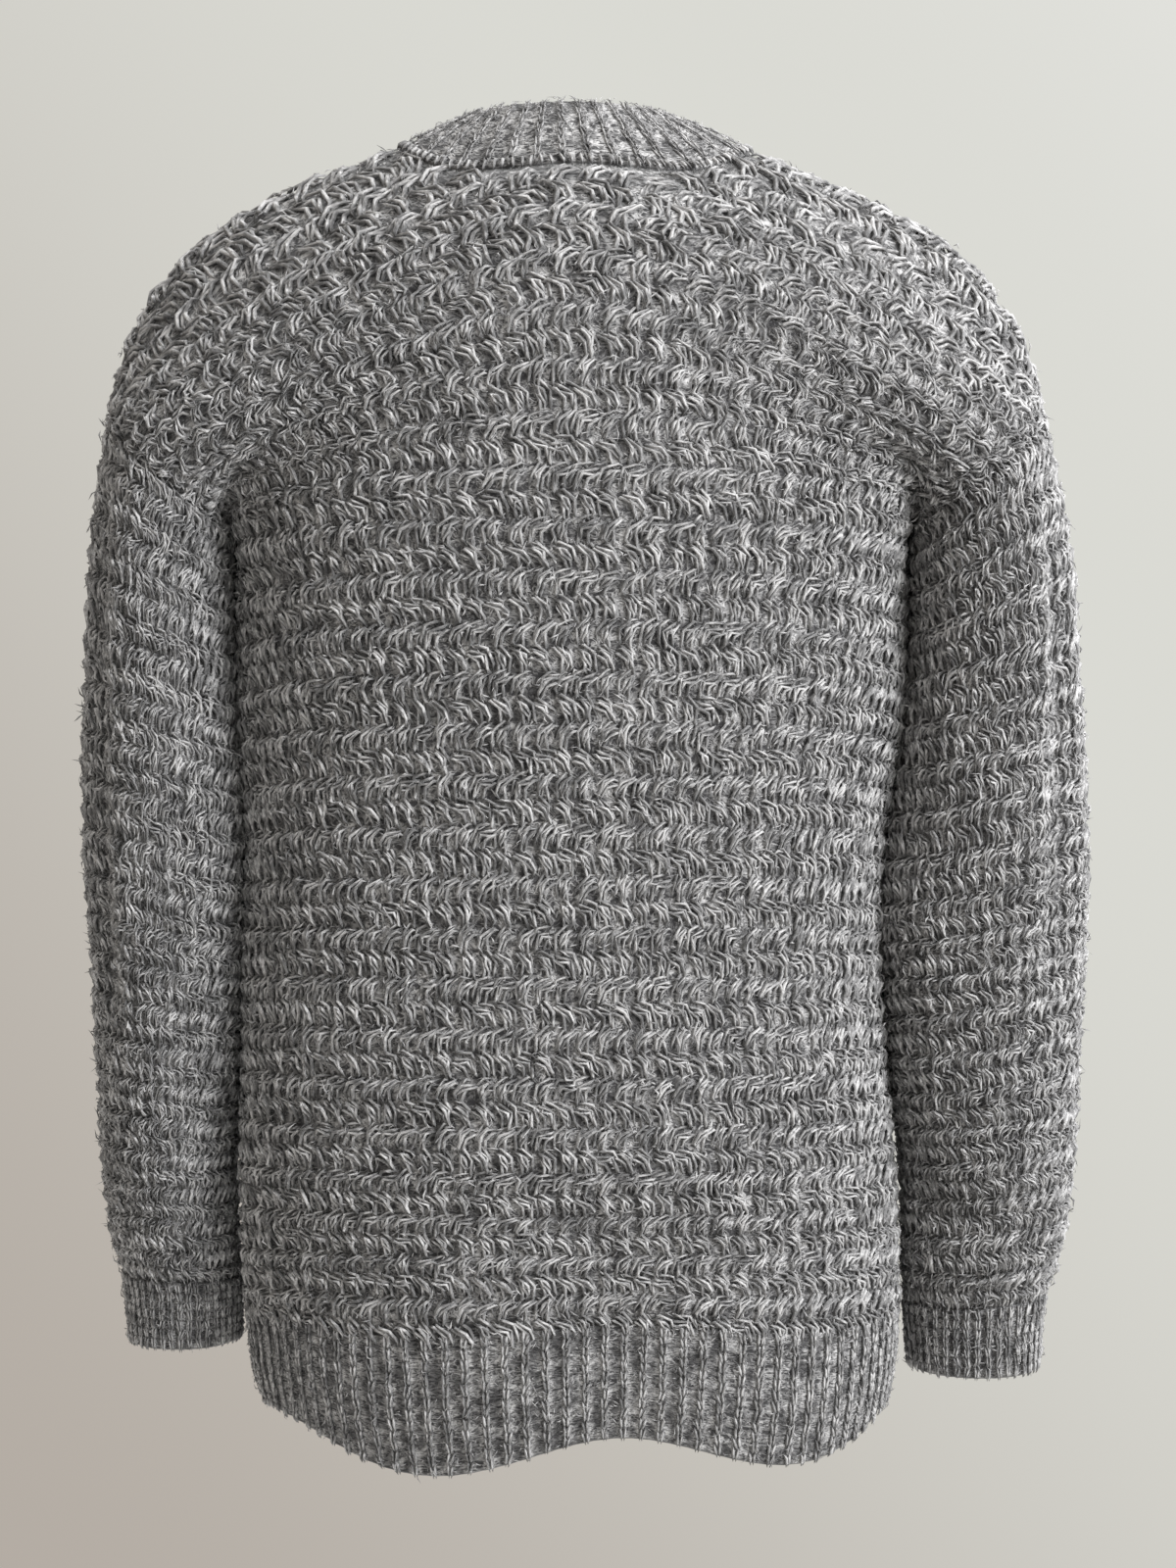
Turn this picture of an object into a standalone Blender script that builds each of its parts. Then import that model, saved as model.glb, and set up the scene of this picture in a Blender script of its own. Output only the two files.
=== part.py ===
"""Crewneck sweater in a chunky racked knit, holding the hollow form that it has when it is worn.

Nine pieces, as a maker would knit and link them: a back and a front panel with dropped shoulders, two sleeves,
and ribbed trims at the neck, the hem and the cuffs. Each is a closed cloth wall, and the pieces lie 0.3 mm
apart at their seams. Metres, +Z up. The wearer faces -Y, the wearer's left is +X, and the origin is the middle
of the neck opening, level with the inner ends of the shoulder seams.

A panel's own coordinates are its knitting: "band" counts rows of leaning stitches up from the hem rib, and
"share" runs from -1 at the wearer's right side over 0 at the middle to 1 at the left. A sleeve counts bands
down from its armhole, and "turn" runs round it: 0 under the arm, 0.5 at its back, 1 on top, 1.5 at its front.
"""

import collections
import math

import bmesh
import bpy
import numpy as np

GARMENT = "crewneck_sweater"

# Cloth. The neckband stands a little further off, because its ribs cut the neckline's corners.
WALL = 0.004
RIB_WALL = 0.003
RIB_RISE = 0.0018
SEAM_GAP = 0.00034
NECK_GAP = 0.0007

# Knitting counts
BODY_BANDS = 52
ARMPIT_BAND = 34
HEM_BAND = -5
SLEEVE_BANDS = 42
CUFF_BAND = 46
PANEL_RIBS = 52
CUFF_RIBS = 40
NECK_RIBS = 48

# Neck and shoulders
NECK_SHARE = 0.346
NECK_POINT = {"left": (0.090, 0.012, -0.006), "right": (0.089, 0.012, -0.008)}
SHOULDER_POINT = (0.2425, -0.005, -0.150)
SHOULDER_LEAVE = {"left": (0.220, 0.0, -0.085), "right": (0.218, 0.0, -0.098)}
SHOULDER_ARRIVE = (0.030, 0.0, -0.300)
SHOULDER_LEAN = (80.0, 90.0)
SHOULDER_ROUND = 1.15

# Neckline: the cloth faces up along it, and this much more outwards for each metre from the neck's middle
NECK_MIDDLE = (0.0, 0.010, 0.0)
NECK_FACING = (7.0, 12.0, 0.0)
SCOOP_BANDS = {"back": 4.0, "front": 10.5}
SCOOP_POWER = 0.6
SCOOP_FROM_BAND = 28

# Armholes, how the yoke's rows leave the middle and arrive at them, and how closely cloth follows its edge
ARMPIT_HEIGHT = -0.206
ARMPIT_X = {"left": 0.180, "right": 0.176}
ARMHOLE_Y = -0.005
ARMHOLE_HALF_DEPTH = 0.076
YOKE_LEAVE = (0.25, 0.0, 0.0)
YOKE_ARRIVE = (0.014, -0.060, -0.090)
EDGE_PULL = 8

# Under the arms: how near its seams face down, and how far and how much the outer face is pressed in
ARMPIT_TURN = 0.012
ARMPIT_REACH = 0.060
ARMPIT_PRESS = 0.0019

# Neckband's top edge: half its width, and y and z where it crosses the back, the sides and the front
COLLAR_MIDDLE_X = 0.004
COLLAR_HALF_WIDTH = 0.0545
COLLAR_BACK = (0.047, 0.0105)
COLLAR_SIDE = (-0.006, 0.0115)
COLLAR_FRONT = (-0.070, -0.046)
COLLAR_SWELL = 0.0020

# How full a row's curve is at its corners: 1.66 gives an ellipse
ROW_FULLNESS = 1.80

# One row for each section of the body, from the hem's edge up: the middle of the back and of the front as
# y and z, the half width on each side, and how far the row drops from its middle to its side.
BODY_COLUMNS = ("band", "back_y", "back_z", "front_y", "front_z", "left", "right", "drop")
BODY_SECTIONS = (
    (-5.0, 0.1120, -0.6630, -0.104, -0.6620, 0.1610, 0.1600, -0.008),
    (-2.5, 0.1180, -0.6310, -0.109, -0.6310, 0.1665, 0.1635, 0.006),
    (0.0, 0.1195, -0.6000, -0.112, -0.6000, 0.1700, 0.1655, 0.012),
    (8.0, 0.1180, -0.5180, -0.115, -0.5180, 0.1734, 0.1635, 0.008),
    (17.0, 0.1095, -0.4110, -0.117, -0.4110, 0.1698, 0.1545, 0.006),
    (22.0, 0.1080, -0.3490, -0.121, -0.3490, 0.1683, 0.1570, 0.007),
    (27.0, 0.1110, -0.2870, -0.127, -0.2870, 0.1730, 0.1675, 0.009),
    (32.5, 0.1145, -0.2190, -0.130, -0.2190, 0.1752, 0.1712, 0.008),
    (34.0, 0.1150, -0.2000, -0.129, -0.2000, 0.1800, 0.1760, 0.006),
    (38.0, 0.1135, -0.1480, -0.119, -0.1480, None, None, None),
    (48.0, 0.0720, -0.0250, -0.050, -0.0260, None, None, None),
    (52.0, 0.0120, 0.0010, 0.012, 0.0010, None, None, None),
)
YOKE_SECTIONS = 3

# One row for each section of a sleeve, from just under the armpit to the cuff's edge.
SLEEVE_COLUMNS = ("band", "height", "inner", "outer", "y", "half_depth", "tilt")
SLEEVE_SECTIONS = {
    "left": (
        (5.0, -0.236, 0.1838, 0.2510, -0.005, 0.0750, 0.036),
        (9.0, -0.285, 0.1815, 0.2535, -0.006, 0.0720, 0.026),
        (13.5, -0.335, 0.1775, 0.2553, -0.007, 0.0695, 0.022),
        (18.0, -0.385, 0.1768, 0.2545, -0.008, 0.0670, 0.019),
        (23.5, -0.435, 0.1790, 0.2512, -0.009, 0.0645, 0.016),
        (29.0, -0.485, 0.1810, 0.2484, -0.010, 0.0615, 0.013),
        (35.0, -0.535, 0.1814, 0.2460, -0.011, 0.0560, 0.009),
        (39.5, -0.572, 0.1806, 0.2420, -0.012, 0.0465, 0.006),
        (42.0, -0.592, 0.1795, 0.2365, -0.013, 0.0360, 0.004),
        (46.0, -0.6265, 0.1800, 0.2330, -0.014, 0.0325, 0.000),
    ),
    "right": (
        (5.0, -0.236, 0.1790, 0.2560, -0.005, 0.0750, 0.036),
        (9.0, -0.285, 0.1760, 0.2600, -0.006, 0.0720, 0.024),
        (13.5, -0.335, 0.1680, 0.2638, -0.007, 0.0695, 0.020),
        (18.0, -0.385, 0.1620, 0.2655, -0.008, 0.0670, 0.018),
        (23.5, -0.435, 0.1640, 0.2640, -0.009, 0.0645, 0.016),
        (29.0, -0.487, 0.1690, 0.2610, -0.010, 0.0615, 0.013),
        (35.0, -0.540, 0.1730, 0.2580, -0.011, 0.0565, 0.009),
        (39.5, -0.582, 0.1738, 0.2520, -0.012, 0.0480, 0.006),
        (42.0, -0.605, 0.1752, 0.2445, -0.013, 0.0380, 0.004),
        (46.0, -0.6410, 0.1780, 0.2410, -0.014, 0.0345, 0.000),
    ),
}

# Soft folds, each a straight trough in the cloth between two places in a piece's own coordinates: the creases
# at the armpits, slighter ones that run from them, the hollow over the hem's raised middle, and on each sleeve
# the long creases that part its back and its front from its outer edge.
FOLD_COLUMNS = ("piece", "across_0", "band_0", "across_1", "band_1", "width", "depth")
FOLDS = (
    ("back", 0.99, 33.0, 0.84, 38.5, 0.013, 0.0060),
    ("back", -0.99, 33.0, -0.82, 39.5, 0.015, 0.0065),
    ("back", 0.93, 30.0, 0.55, 24.0, 0.022, 0.0020),
    ("back", -0.95, 31.0, -0.60, 23.0, 0.024, 0.0022),
    ("back", -0.12, -6.0, -0.05, 6.0, 0.030, 0.0060),
    ("back", 0.75, -3.0, 0.40, 10.0, 0.030, 0.0025),
    ("front", 0.99, 33.0, 0.82, 38.5, 0.014, 0.0060),
    ("front", -0.99, 33.0, -0.83, 39.0, 0.014, 0.0060),
    ("front", 0.90, 30.0, 0.50, 33.5, 0.020, 0.0025),
    ("front", -0.92, 29.5, -0.48, 33.0, 0.020, 0.0025),
    ("front", 0.60, -4.0, 0.35, 14.0, 0.028, 0.0030),
    ("front", -0.50, -4.0, -0.30, 12.0, 0.028, 0.0030),
    ("left", 0.73, 3.0, 0.70, 26.0, 0.0065, 0.0060),
    ("right", 0.72, 3.0, 0.69, 23.0, 0.0070, 0.0065),
    ("left", 1.30, 5.0, 1.36, 24.0, 0.0080, 0.0040),
    ("right", 1.28, 5.0, 1.34, 26.0, 0.0080, 0.0045),
    ("left", 0.18, 12.0, 0.55, 20.0, 0.0140, 0.0025),
    ("right", 0.16, 13.0, 0.52, 21.0, 0.0150, 0.0030),
    ("left", 0.25, 36.0, 0.70, 38.0, 0.0090, 0.0030),
    ("right", 0.20, 35.5, 0.68, 38.0, 0.0100, 0.0035),
)

# What a step of 1 across and of 1 band measures in a fold's coordinates, and where seams hold the cloth flat
PANEL_SCALE = (0.245, 0.0123)
SLEEVE_SCALE = (0.180, 0.0100)
HELD_SHARE = 0.06
HELD_BANDS = 2.5

# The hem's edge rises at the middle of the back and hangs lower to each side of it.
HEM_WAVE = {"back": 0.0095, "front": 0.0030}
HEM_WAVE_AT = {"back": -0.10, "front": 0.05}
HEM_WAVE_LENGTH = 0.90
HEM_WAVE_TOP_BAND = 3.0

# Mesh stations: shares across half a panel, its bands up to the armpit and above it, and a sleeve's bands
SHARES = (0, 0.08, 0.16, 0.23, 0.285, 0.325, NECK_SHARE, 0.44, 0.53, 0.62, 0.71, 0.79, 0.86, 0.92, 0.965, 1.0)
LOWER_BANDS = (0, 3, 6, 9, 12, 15, 18, 21, 24, 27, 29.5, 31.5, 33, 34)
YOKE_BANDS = (35.2, 36.5, 38, 39.6, 41.2, 42.9, 44.6, 46.2, 47.8, 49.3, 50.7, 52)
SLEEVE_BAND_STATIONS = (0, 1.5, 3, 5, 7.5, 10, 13, 16, 19, 22, 25, 28, 31, 34, 37, 39.5, 41, 42)
HEM_STATIONS = 3
CUFF_STATIONS = 3
COLLAR_STATIONS = 4
CURVE_STEPS = 160

CLOTH_GREY = (0.186, 0.180, 0.183)
TRIM_GREY = (0.172, 0.167, 0.170)
CLOTH_ROUGHNESS = 0.95
SMOOTH_ANGLE = 50


def unit(vectors):
    return vectors / np.linalg.norm(vectors, axis=-1, keepdims=True)


def smooth(share):
    """0 up to a share of 0, 1 from a share of 1, and an even S between them."""
    share = np.clip(share, 0.0, 1.0)
    return share * share * (3.0 - 2.0 * share)


def hermite(start, end, leave, arrive, at):
    """A cubic from start to end that leaves and arrives with the given slopes, read at shares 0 to 1."""
    return (
        (2 * at**3 - 3 * at**2 + 1) * start
        + (at**3 - 2 * at**2 + at) * leave
        + (3 * at**2 - 2 * at**3) * end
        + (at**3 - at**2) * arrive
    )


def through(knots, values, slopes, at):
    """A smooth curve through values at rising knots, with a given slope at each, read at the places in at."""
    at = np.clip(at, knots[0], knots[-1])
    index = np.clip(np.searchsorted(knots, at, side="right") - 1, 0, len(knots) - 2)
    span = (knots[index + 1] - knots[index]).reshape((-1,) + (1,) * (values.ndim - 1))
    place = (at - knots[index]).reshape(span.shape) / span
    return hermite(values[index], values[index + 1], slopes[index] * span, slopes[index + 1] * span, place)


def curve(start, end, leave, arrive):
    place = np.linspace(0.0, 1.0, CURVE_STEPS)[:, None]
    return hermite(np.array(start), np.array(end), np.array(leave), np.array(arrive), place)


def lengths(points):
    """How far along a polyline each of its points lies."""
    return np.append(0.0, np.cumsum(np.linalg.norm(np.diff(points, axis=0), axis=1)))


def read(at, knots, values):
    """Values read between knots along straight lines, for each of their columns."""
    return np.stack([np.interp(at, knots, values[:, axis]) for axis in range(values.shape[1])], axis=-1)


def along(points, share):
    """Points at the given shares of a polyline's length."""
    length = lengths(points)
    return read(np.clip(share, 0, 1) * length[-1], length, points)


def armhole(side, turn):
    """The armhole: a tilted ellipse from the armpit over the back of the arm, its top and its front."""
    angle = math.pi * turn
    rise = 0.5 - 0.5 * np.cos(angle)
    x = ARMPIT_X[side] + (SHOULDER_POINT[0] - ARMPIT_X[side]) * rise
    y = ARMHOLE_Y + ARMHOLE_HALF_DEPTH * np.sin(angle)
    z = ARMPIT_HEIGHT + (SHOULDER_POINT[2] - ARMPIT_HEIGHT) * rise
    return np.stack([x, y, z], axis=-1)


def armhole_turn(face, band):
    """The turn round the armhole where a panel's band ends."""
    share = (band - ARMPIT_BAND) / (BODY_BANDS - ARMPIT_BAND)
    return share if face == "back" else 2.0 - share


def side_seam(side, band):
    """The body's side seam, from the hem's edge up to the armpit."""
    sections = [dict(zip(BODY_COLUMNS, row)) for row in BODY_SECTIONS[:-YOKE_SECTIONS]]
    knots = np.array([section["band"] for section in sections])
    points = np.array([(row[side], ARMHOLE_Y, row["back_z"] - row["drop"]) for row in sections])
    return through(knots, points, np.gradient(points, knots, axis=0), band)


def panel_edge(side, face, band):
    """A panel's side edge: the side seam up to the armpit, and from there half of the armhole."""
    seam = side_seam(side, np.minimum(band, ARMPIT_BAND))
    hole = armhole(side, armhole_turn(face, np.maximum(band, ARMPIT_BAND)))
    return np.where(band[:, None] <= ARMPIT_BAND, seam, hole)


def section_curve(section, side, face, share):
    """One section of a panel's half, from its middle to its side, read at shares 0 to 1."""
    facing = 1.0 if face == "back" else -1.0
    middle = np.array([0.0, section[face + "_y"], section[face + "_z"]])
    if section["band"] == BODY_BANDS:
        neck = np.array(NECK_POINT[side])
        over_neck = curve(middle, neck, (neck[0], 0, 0), np.multiply(SHOULDER_LEAVE[side], NECK_SHARE))
        shoulder = curve(neck, SHOULDER_POINT, SHOULDER_LEAVE[side], SHOULDER_ARRIVE)
        inner = along(over_neck, share / NECK_SHARE)
        outer = along(shoulder, (share - NECK_SHARE) / (1 - NECK_SHARE))
        return np.where(share[:, None] <= NECK_SHARE, inner, outer)
    if section["band"] > ARMPIT_BAND:
        end = armhole(side, armhole_turn(face, section["band"]))
        return along(curve(middle, end, YOKE_LEAVE, np.multiply(YOKE_ARRIVE, (1, facing, 1))), share)
    depth = middle[1] - ARMHOLE_Y
    end = middle + (section[side], -depth, -section["drop"])
    leave = (ROW_FULLNESS * section[side], 0, 0)
    arrive = (0, -ROW_FULLNESS * depth, -2 * section["drop"])
    return along(curve(middle, end, leave, arrive), share)


def section_slopes(rows, knots, face, share):
    """How the cloth runs on from section to section, and leans forward where it ends on the shoulder."""
    slopes = np.gradient(rows, knots, axis=0)
    slopes[-3] = (rows[-3] - rows[-4]) / (knots[-3] - knots[-4])
    facing = 1.0 if face == "back" else -1.0
    lean = np.radians(np.interp(share, (0.0, 1.0), SHOULDER_LEAN))
    over = np.stack([np.zeros_like(lean), -facing * np.sin(lean), np.cos(lean)], axis=-1)
    reach = np.linalg.norm(rows[-1] - rows[-2], axis=-1, keepdims=True)
    slopes[-1] = over * reach * SHOULDER_ROUND / (knots[-1] - knots[-2])
    return slopes


def hem_wave(face, share, band):
    swing = np.cos(2 * math.pi * (share - HEM_WAVE_AT[face]) / HEM_WAVE_LENGTH) * (1 - share**4)
    return HEM_WAVE[face] * swing * smooth((HEM_WAVE_TOP_BAND - band) / (HEM_WAVE_TOP_BAND - HEM_BAND))


def panel_form(face, share, band):
    """A panel's middle surface without its folds: a column of points for each share, at that column's bands."""
    sections = [dict(zip(BODY_COLUMNS, row)) for row in BODY_SECTIONS]
    knots = np.array([section["band"] for section in sections])
    points = np.empty(band.shape + (3,))
    for side, sign in (("left", 1.0), ("right", -1.0)):
        here = np.flatnonzero(share >= 0 if side == "left" else share < 0)
        reach = np.append(np.abs(share[here]), 1.0)
        rows = np.array([section_curve(section, side, face, reach) for section in sections])
        slopes = section_slopes(rows, knots, face, reach)
        for place, index in enumerate(here):
            at = band[:, index]
            line = through(knots, rows[:, place], slopes[:, place], at)
            side_line = through(knots, rows[:, -1], slopes[:, -1], at)
            line += reach[place] ** EDGE_PULL * (panel_edge(side, face, at) - side_line)
            points[:, index] = line * (sign, 1.0, 1.0)
    points[..., 2] += hem_wave(face, share, band)
    return points


def neckline_band(face, share):
    """The band where a panel ends at its top: its neckline is scooped out below the shoulder seams."""
    return BODY_BANDS - SCOOP_BANDS[face] * np.clip(1 - (share / NECK_SHARE) ** 2, 0, 1) ** SCOOP_POWER


def fold_depth(piece, across, band, scale):
    """How deep a piece's soft folds are at each of its points."""
    depth = np.zeros(np.broadcast(across, band).shape)
    here = np.stack(np.broadcast_arrays(across * scale[0], band * scale[1]), axis=-1)
    for fold in (dict(zip(FOLD_COLUMNS, row)) for row in FOLDS if row[0] == piece):
        start = np.multiply((fold["across_0"], fold["band_0"]), scale)
        run = np.multiply((fold["across_1"], fold["band_1"]), scale) - start
        length = np.linalg.norm(run)
        run /= length
        far = (here - start) @ run / length
        off = (here - start) @ (-run[1], run[0])
        ends = smooth(4 * far + 0.5) * smooth(4 * (1 - far) + 0.5)
        depth += fold["depth"] * np.exp(-0.5 * (off / fold["width"]) ** 2) * ends
    return depth


def facing_out(points, facing, wrap):
    """Each point's outward normal, from its neighbours across the piece and along its bands."""
    if wrap:
        across = np.roll(points, -1, axis=1) - np.roll(points, 1, axis=1)
    else:
        across = np.gradient(points, axis=1)
    return facing * unit(np.cross(np.gradient(points, axis=0), across))


def panel(face, share, band):
    """A panel's middle surface with its folds, and its outward normals."""
    facing = 1.0 if face == "back" else -1.0
    points = panel_form(face, share, band)
    held = smooth((1 - np.abs(share)) / HELD_SHARE) * smooth((BODY_BANDS - band) / HELD_BANDS)
    depth = fold_depth(face, share, band, PANEL_SCALE) * held
    points -= depth[..., None] * facing_out(points, facing, False)
    return points, facing_out(points, facing, False)


def sleeve(side, turn, band):
    """A sleeve's middle surface with its folds, and its outward normals."""
    angle = math.pi * turn
    knots = np.array([0.0] + [row[0] for row in SLEEVE_SECTIONS[side]])
    rows = [armhole(side, turn)]
    for section in (dict(zip(SLEEVE_COLUMNS, row)) for row in SLEEVE_SECTIONS[side]):
        middle = (section["outer"] + section["inner"]) / 2
        half = (section["outer"] - section["inner"]) / 2
        x = middle - half * np.cos(angle)
        y = section["y"] + section["half_depth"] * np.sin(angle)
        z = section["height"] - section["tilt"] / 2 * np.cos(angle)
        rows.append(np.stack([x, y, z], axis=-1))
    rows = np.array(rows)
    points = through(knots, rows, np.gradient(rows, knots, axis=0), band)
    held = smooth(band / HELD_BANDS) * smooth((SLEEVE_BANDS - band) / HELD_BANDS)
    depth = fold_depth(side, turn[None, :], band[:, None], SLEEVE_SCALE) * held[:, None]
    points -= depth[..., None] * facing_out(points, -1.0, True)
    normals = facing_out(points, -1.0, True)
    if side == "right":
        return points * (-1, 1, 1), normals * (-1, 1, 1)
    return points, normals


def collar_edge(angle):
    """The neckband's top edge, at angles from the middle of the back towards the wearer's left."""
    ahead = np.cos(angle) < 0
    end = np.where(ahead[:, None], COLLAR_FRONT, COLLAR_BACK)
    bow = np.abs(np.cos(angle))[:, None]
    y_z = COLLAR_SIDE + (end - COLLAR_SIDE) * np.concatenate([bow, bow**1.5], axis=1)
    x = COLLAR_MIDDLE_X + COLLAR_HALF_WIDTH * np.sin(angle)
    return np.concatenate([x[:, None], y_z], axis=1)


def neckband(back, front, share):
    """The neckband's middle surface and normals, from the panels' neckline up to its own top edge."""
    inside = np.abs(share) <= NECK_SHARE
    middle = np.count_nonzero(inside) // 2
    rings = []
    for behind, ahead in zip(back, front):
        behind, ahead = behind[-1, inside], ahead[-1, inside]
        rings.append(np.concatenate([behind[middle:], ahead[-2::-1], behind[1 : middle + 1]]))
    neckline, leaning = rings
    around = lengths(neckline) / lengths(neckline)[-1]
    corners = np.rint(around * 2 * NECK_RIBS)
    ribs = np.interp(np.arange(2 * NECK_RIBS), corners, around)
    top = collar_edge(2 * math.pi * np.linspace(0, 1, CURVE_STEPS))
    top_around = lengths(top) / lengths(top)[-1]
    lower, lower_normals = read(ribs, around, neckline), unit(read(ribs, around, leaning))
    rise = np.linspace(0, 1, COLLAR_STATIONS)[:, None, None]
    points = lower + (read(ribs, top_around, top) - lower) * rise
    points += COLLAR_SWELL * np.sin(math.pi * rise) * facing_out(points, 1.0, True)
    normals = facing_out(points, 1.0, True)
    normals[0] = lower_normals
    return points, normals


def round_neck(points):
    """Which way the cloth faces along the neckline: up, and away from the neck."""
    away = (points - NECK_MIDDLE) * NECK_FACING
    return unit(away + (0.0, 0.0, 1.0))


def by_armpit(points, reach):
    """1 at an armpit, falling to 0 at a given distance from it."""
    x = np.where(points[..., 0] > 0, ARMPIT_X["left"], -ARMPIT_X["right"])
    armpit = np.stack([x, np.full_like(x, ARMHOLE_Y), np.full_like(x, ARMPIT_HEIGHT)], axis=-1)
    return smooth(1 - np.linalg.norm(points - armpit, axis=-1) / reach)


def share_normals(surfaces):
    """Gives the pieces that meet at a point one normal there: their mean, turned down under the arms."""
    meetings = collections.defaultdict(list)
    for points, normals in surfaces:
        near = by_armpit(points, ARMPIT_TURN)
        for index in np.ndindex(near.shape):
            meetings[tuple(np.round(points[index], 5))].append((near[index], normals[index]))
    for meeting in (meeting for meeting in meetings.values() if len(meeting) > 1):
        near = meeting[0][0]
        mean = unit(sum(normal for _, normal in meeting))
        for _, normal in meeting:
            normal[:] = unit(mean * (1 - near) + np.array((0.0, 0.0, -1.0)) * near)


def link_to(trim, row, at, edge, knots):
    """Lays a trim's row of points, and their normals, along the edge of the piece that it is linked to."""
    for values, along_edge in zip(trim, edge):
        values[row] = read(at, knots, along_edge)
    trim[1][row] = unit(trim[1][row])


def ribbed(points):
    """How far a trim's outer points stand out: every other column is a rib's crest."""
    return RIB_RISE * (np.arange(points.shape[1]) % 2) + np.zeros(points.shape[:2])


def pressed(points):
    """How far a piece's outer points stand out: under the arms, body and sleeve press each other thin."""
    return -ARMPIT_PRESS * by_armpit(points, ARMPIT_REACH)


def draw_back(points, last, wrap, gap):
    """Moves a piece's first or last row of points back from its seam by half of the gap there."""
    edge, inner = (-1, -2) if last else (0, 1)
    row = points[edge]
    ahead = unit(np.roll(row, -1, axis=0) - row)
    behind = np.roll(ahead, 1, axis=0)
    if not wrap:
        ahead[-1], behind[0] = behind[-1], ahead[0]
    seam = unit(ahead + behind)
    back = points[inner] - row
    back -= np.sum(back * seam, axis=-1, keepdims=True) * seam
    mitre = np.sum(seam * ahead, axis=-1, keepdims=True)
    points[edge] += unit(back) * gap / 2 / mitre


def wall(name, surface, thickness, rise, seams, colour, gap=SEAM_GAP):
    """One piece: a closed wall of cloth on a middle surface, its outer points raised, drawn back at its seams."""
    points, normals = surface
    outer = points + normals * (thickness / 2 + rise)[..., None]
    inner = points - normals * thickness / 2
    wrap = "start" not in seams
    for skin in (outer, inner):
        for edge in seams:
            across = edge in ("start", "end")
            draw_back(skin.swapaxes(0, 1) if across else skin, edge in ("last", "end"), wrap, gap)
    rows, columns = points.shape[:2]
    mesh = bmesh.new()
    skins = [[[mesh.verts.new(point) for point in row] for row in skin] for skin in (outer, inner)]
    for row in range(rows - 1):
        for column in range(columns if wrap else columns - 1):
            beside = (column + 1) % columns
            for skin in skins:
                mesh.faces.new((skin[row][column], skin[row][beside], skin[row + 1][beside], skin[row + 1][column]))
    rims = [[skin[row] + (skin[row][:1] if wrap else []) for skin in skins] for row in (0, rows - 1)]
    if not wrap:
        rims += [[[line[column] for line in skin] for skin in skins] for column in (0, columns - 1)]
    for outside, inside in rims:
        for place in range(len(outside) - 1):
            mesh.faces.new((outside[place], outside[place + 1], inside[place + 1], inside[place]))
    bmesh.ops.recalc_face_normals(mesh, faces=mesh.faces)
    data = bpy.data.meshes.new(name)
    mesh.to_mesh(data)
    mesh.free()
    data.shade_smooth()
    data.set_sharp_from_angle(angle=math.radians(SMOOTH_ANGLE))
    data.materials.append(cloth_material(name, colour))
    bpy.data.collections[GARMENT].objects.link(bpy.data.objects.new(name, data))


def cloth_material(name, colour):
    material = bpy.data.materials.new(name)
    material.use_nodes = True
    shader = material.node_tree.nodes["Principled BSDF"]
    shader.inputs["Base Color"].default_value = (*colour, 1.0)
    shader.inputs["Roughness"].default_value = CLOTH_ROUGHNESS
    shader.inputs["Metallic"].default_value = 0.0
    return material


def main():
    for item in list(bpy.data.objects):
        bpy.data.objects.remove(item)
    bpy.context.scene.collection.children.link(bpy.data.collections.new(GARMENT))

    share = np.concatenate([-np.array(SHARES[:0:-1]), SHARES])
    rising = np.array(LOWER_BANDS + YOKE_BANDS, dtype=float)[:, None]
    over = np.maximum(rising - SCOOP_FROM_BAND, 0) / (BODY_BANDS - SCOOP_FROM_BAND)
    panels = {}
    for face in ("back", "front"):
        band = rising - over * (BODY_BANDS - neckline_band(face, share))
        panels[face] = panel(face, share, band)

    up_the_back = armhole_turn("back", np.array((ARMPIT_BAND,) + YOKE_BANDS, dtype=float))
    turn = np.concatenate([up_the_back, 2 - up_the_back[-2:0:-1]])
    stations = np.array(SLEEVE_BAND_STATIONS, dtype=float)
    sleeves = {side: sleeve(side, turn, stations) for side in ("left", "right")}
    share_normals([*panels.values(), *sleeves.values()])
    for points, normals in panels.values():
        neckline = np.abs(share) <= NECK_SHARE
        normals[-1, neckline] = round_neck(points[-1, neckline])

    for face, surface in panels.items():
        wall(face + "_panel", surface, WALL, pressed(surface[0]), ("first", "last", "start", "end"), CLOTH_GREY)
    for side, surface in sleeves.items():
        wall("sleeve_" + side, surface, WALL, pressed(surface[0]), ("first", "last"), CLOTH_GREY)

    collar = neckband(panels["back"], panels["front"], share)
    wall("neckband", collar, RIB_WALL, ribbed(collar[0]), ("first",), TRIM_GREY, NECK_GAP)

    rib_share = np.linspace(-1, 1, 2 * PANEL_RIBS + 1)
    rib_band = np.linspace(HEM_BAND, 0, HEM_STATIONS)[:, None] + np.zeros_like(rib_share)
    hems = {face: panel(face, rib_share, rib_band) for face in ("back", "front")}
    share_normals([*hems.values()])
    for face, surface in hems.items():
        link_to(surface, -1, rib_share, [values[0] for values in panels[face]], share)
        wall("hem_rib_" + face, surface, RIB_WALL, ribbed(surface[0]), ("last", "start", "end"), TRIM_GREY)

    rib_turn = np.arange(2 * CUFF_RIBS) / CUFF_RIBS
    cuff_band = np.linspace(SLEEVE_BANDS, CUFF_BAND, CUFF_STATIONS)
    for side in ("left", "right"):
        surface = sleeve(side, rib_turn, cuff_band)
        edge = [np.concatenate([values[-1], values[-1, :1]]) for values in sleeves[side]]
        link_to(surface, 0, rib_turn, edge, np.append(turn, 2.0))
        wall("cuff_" + side, surface, RIB_WALL, ribbed(surface[0]), ("first",), TRIM_GREY)


main()
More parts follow.
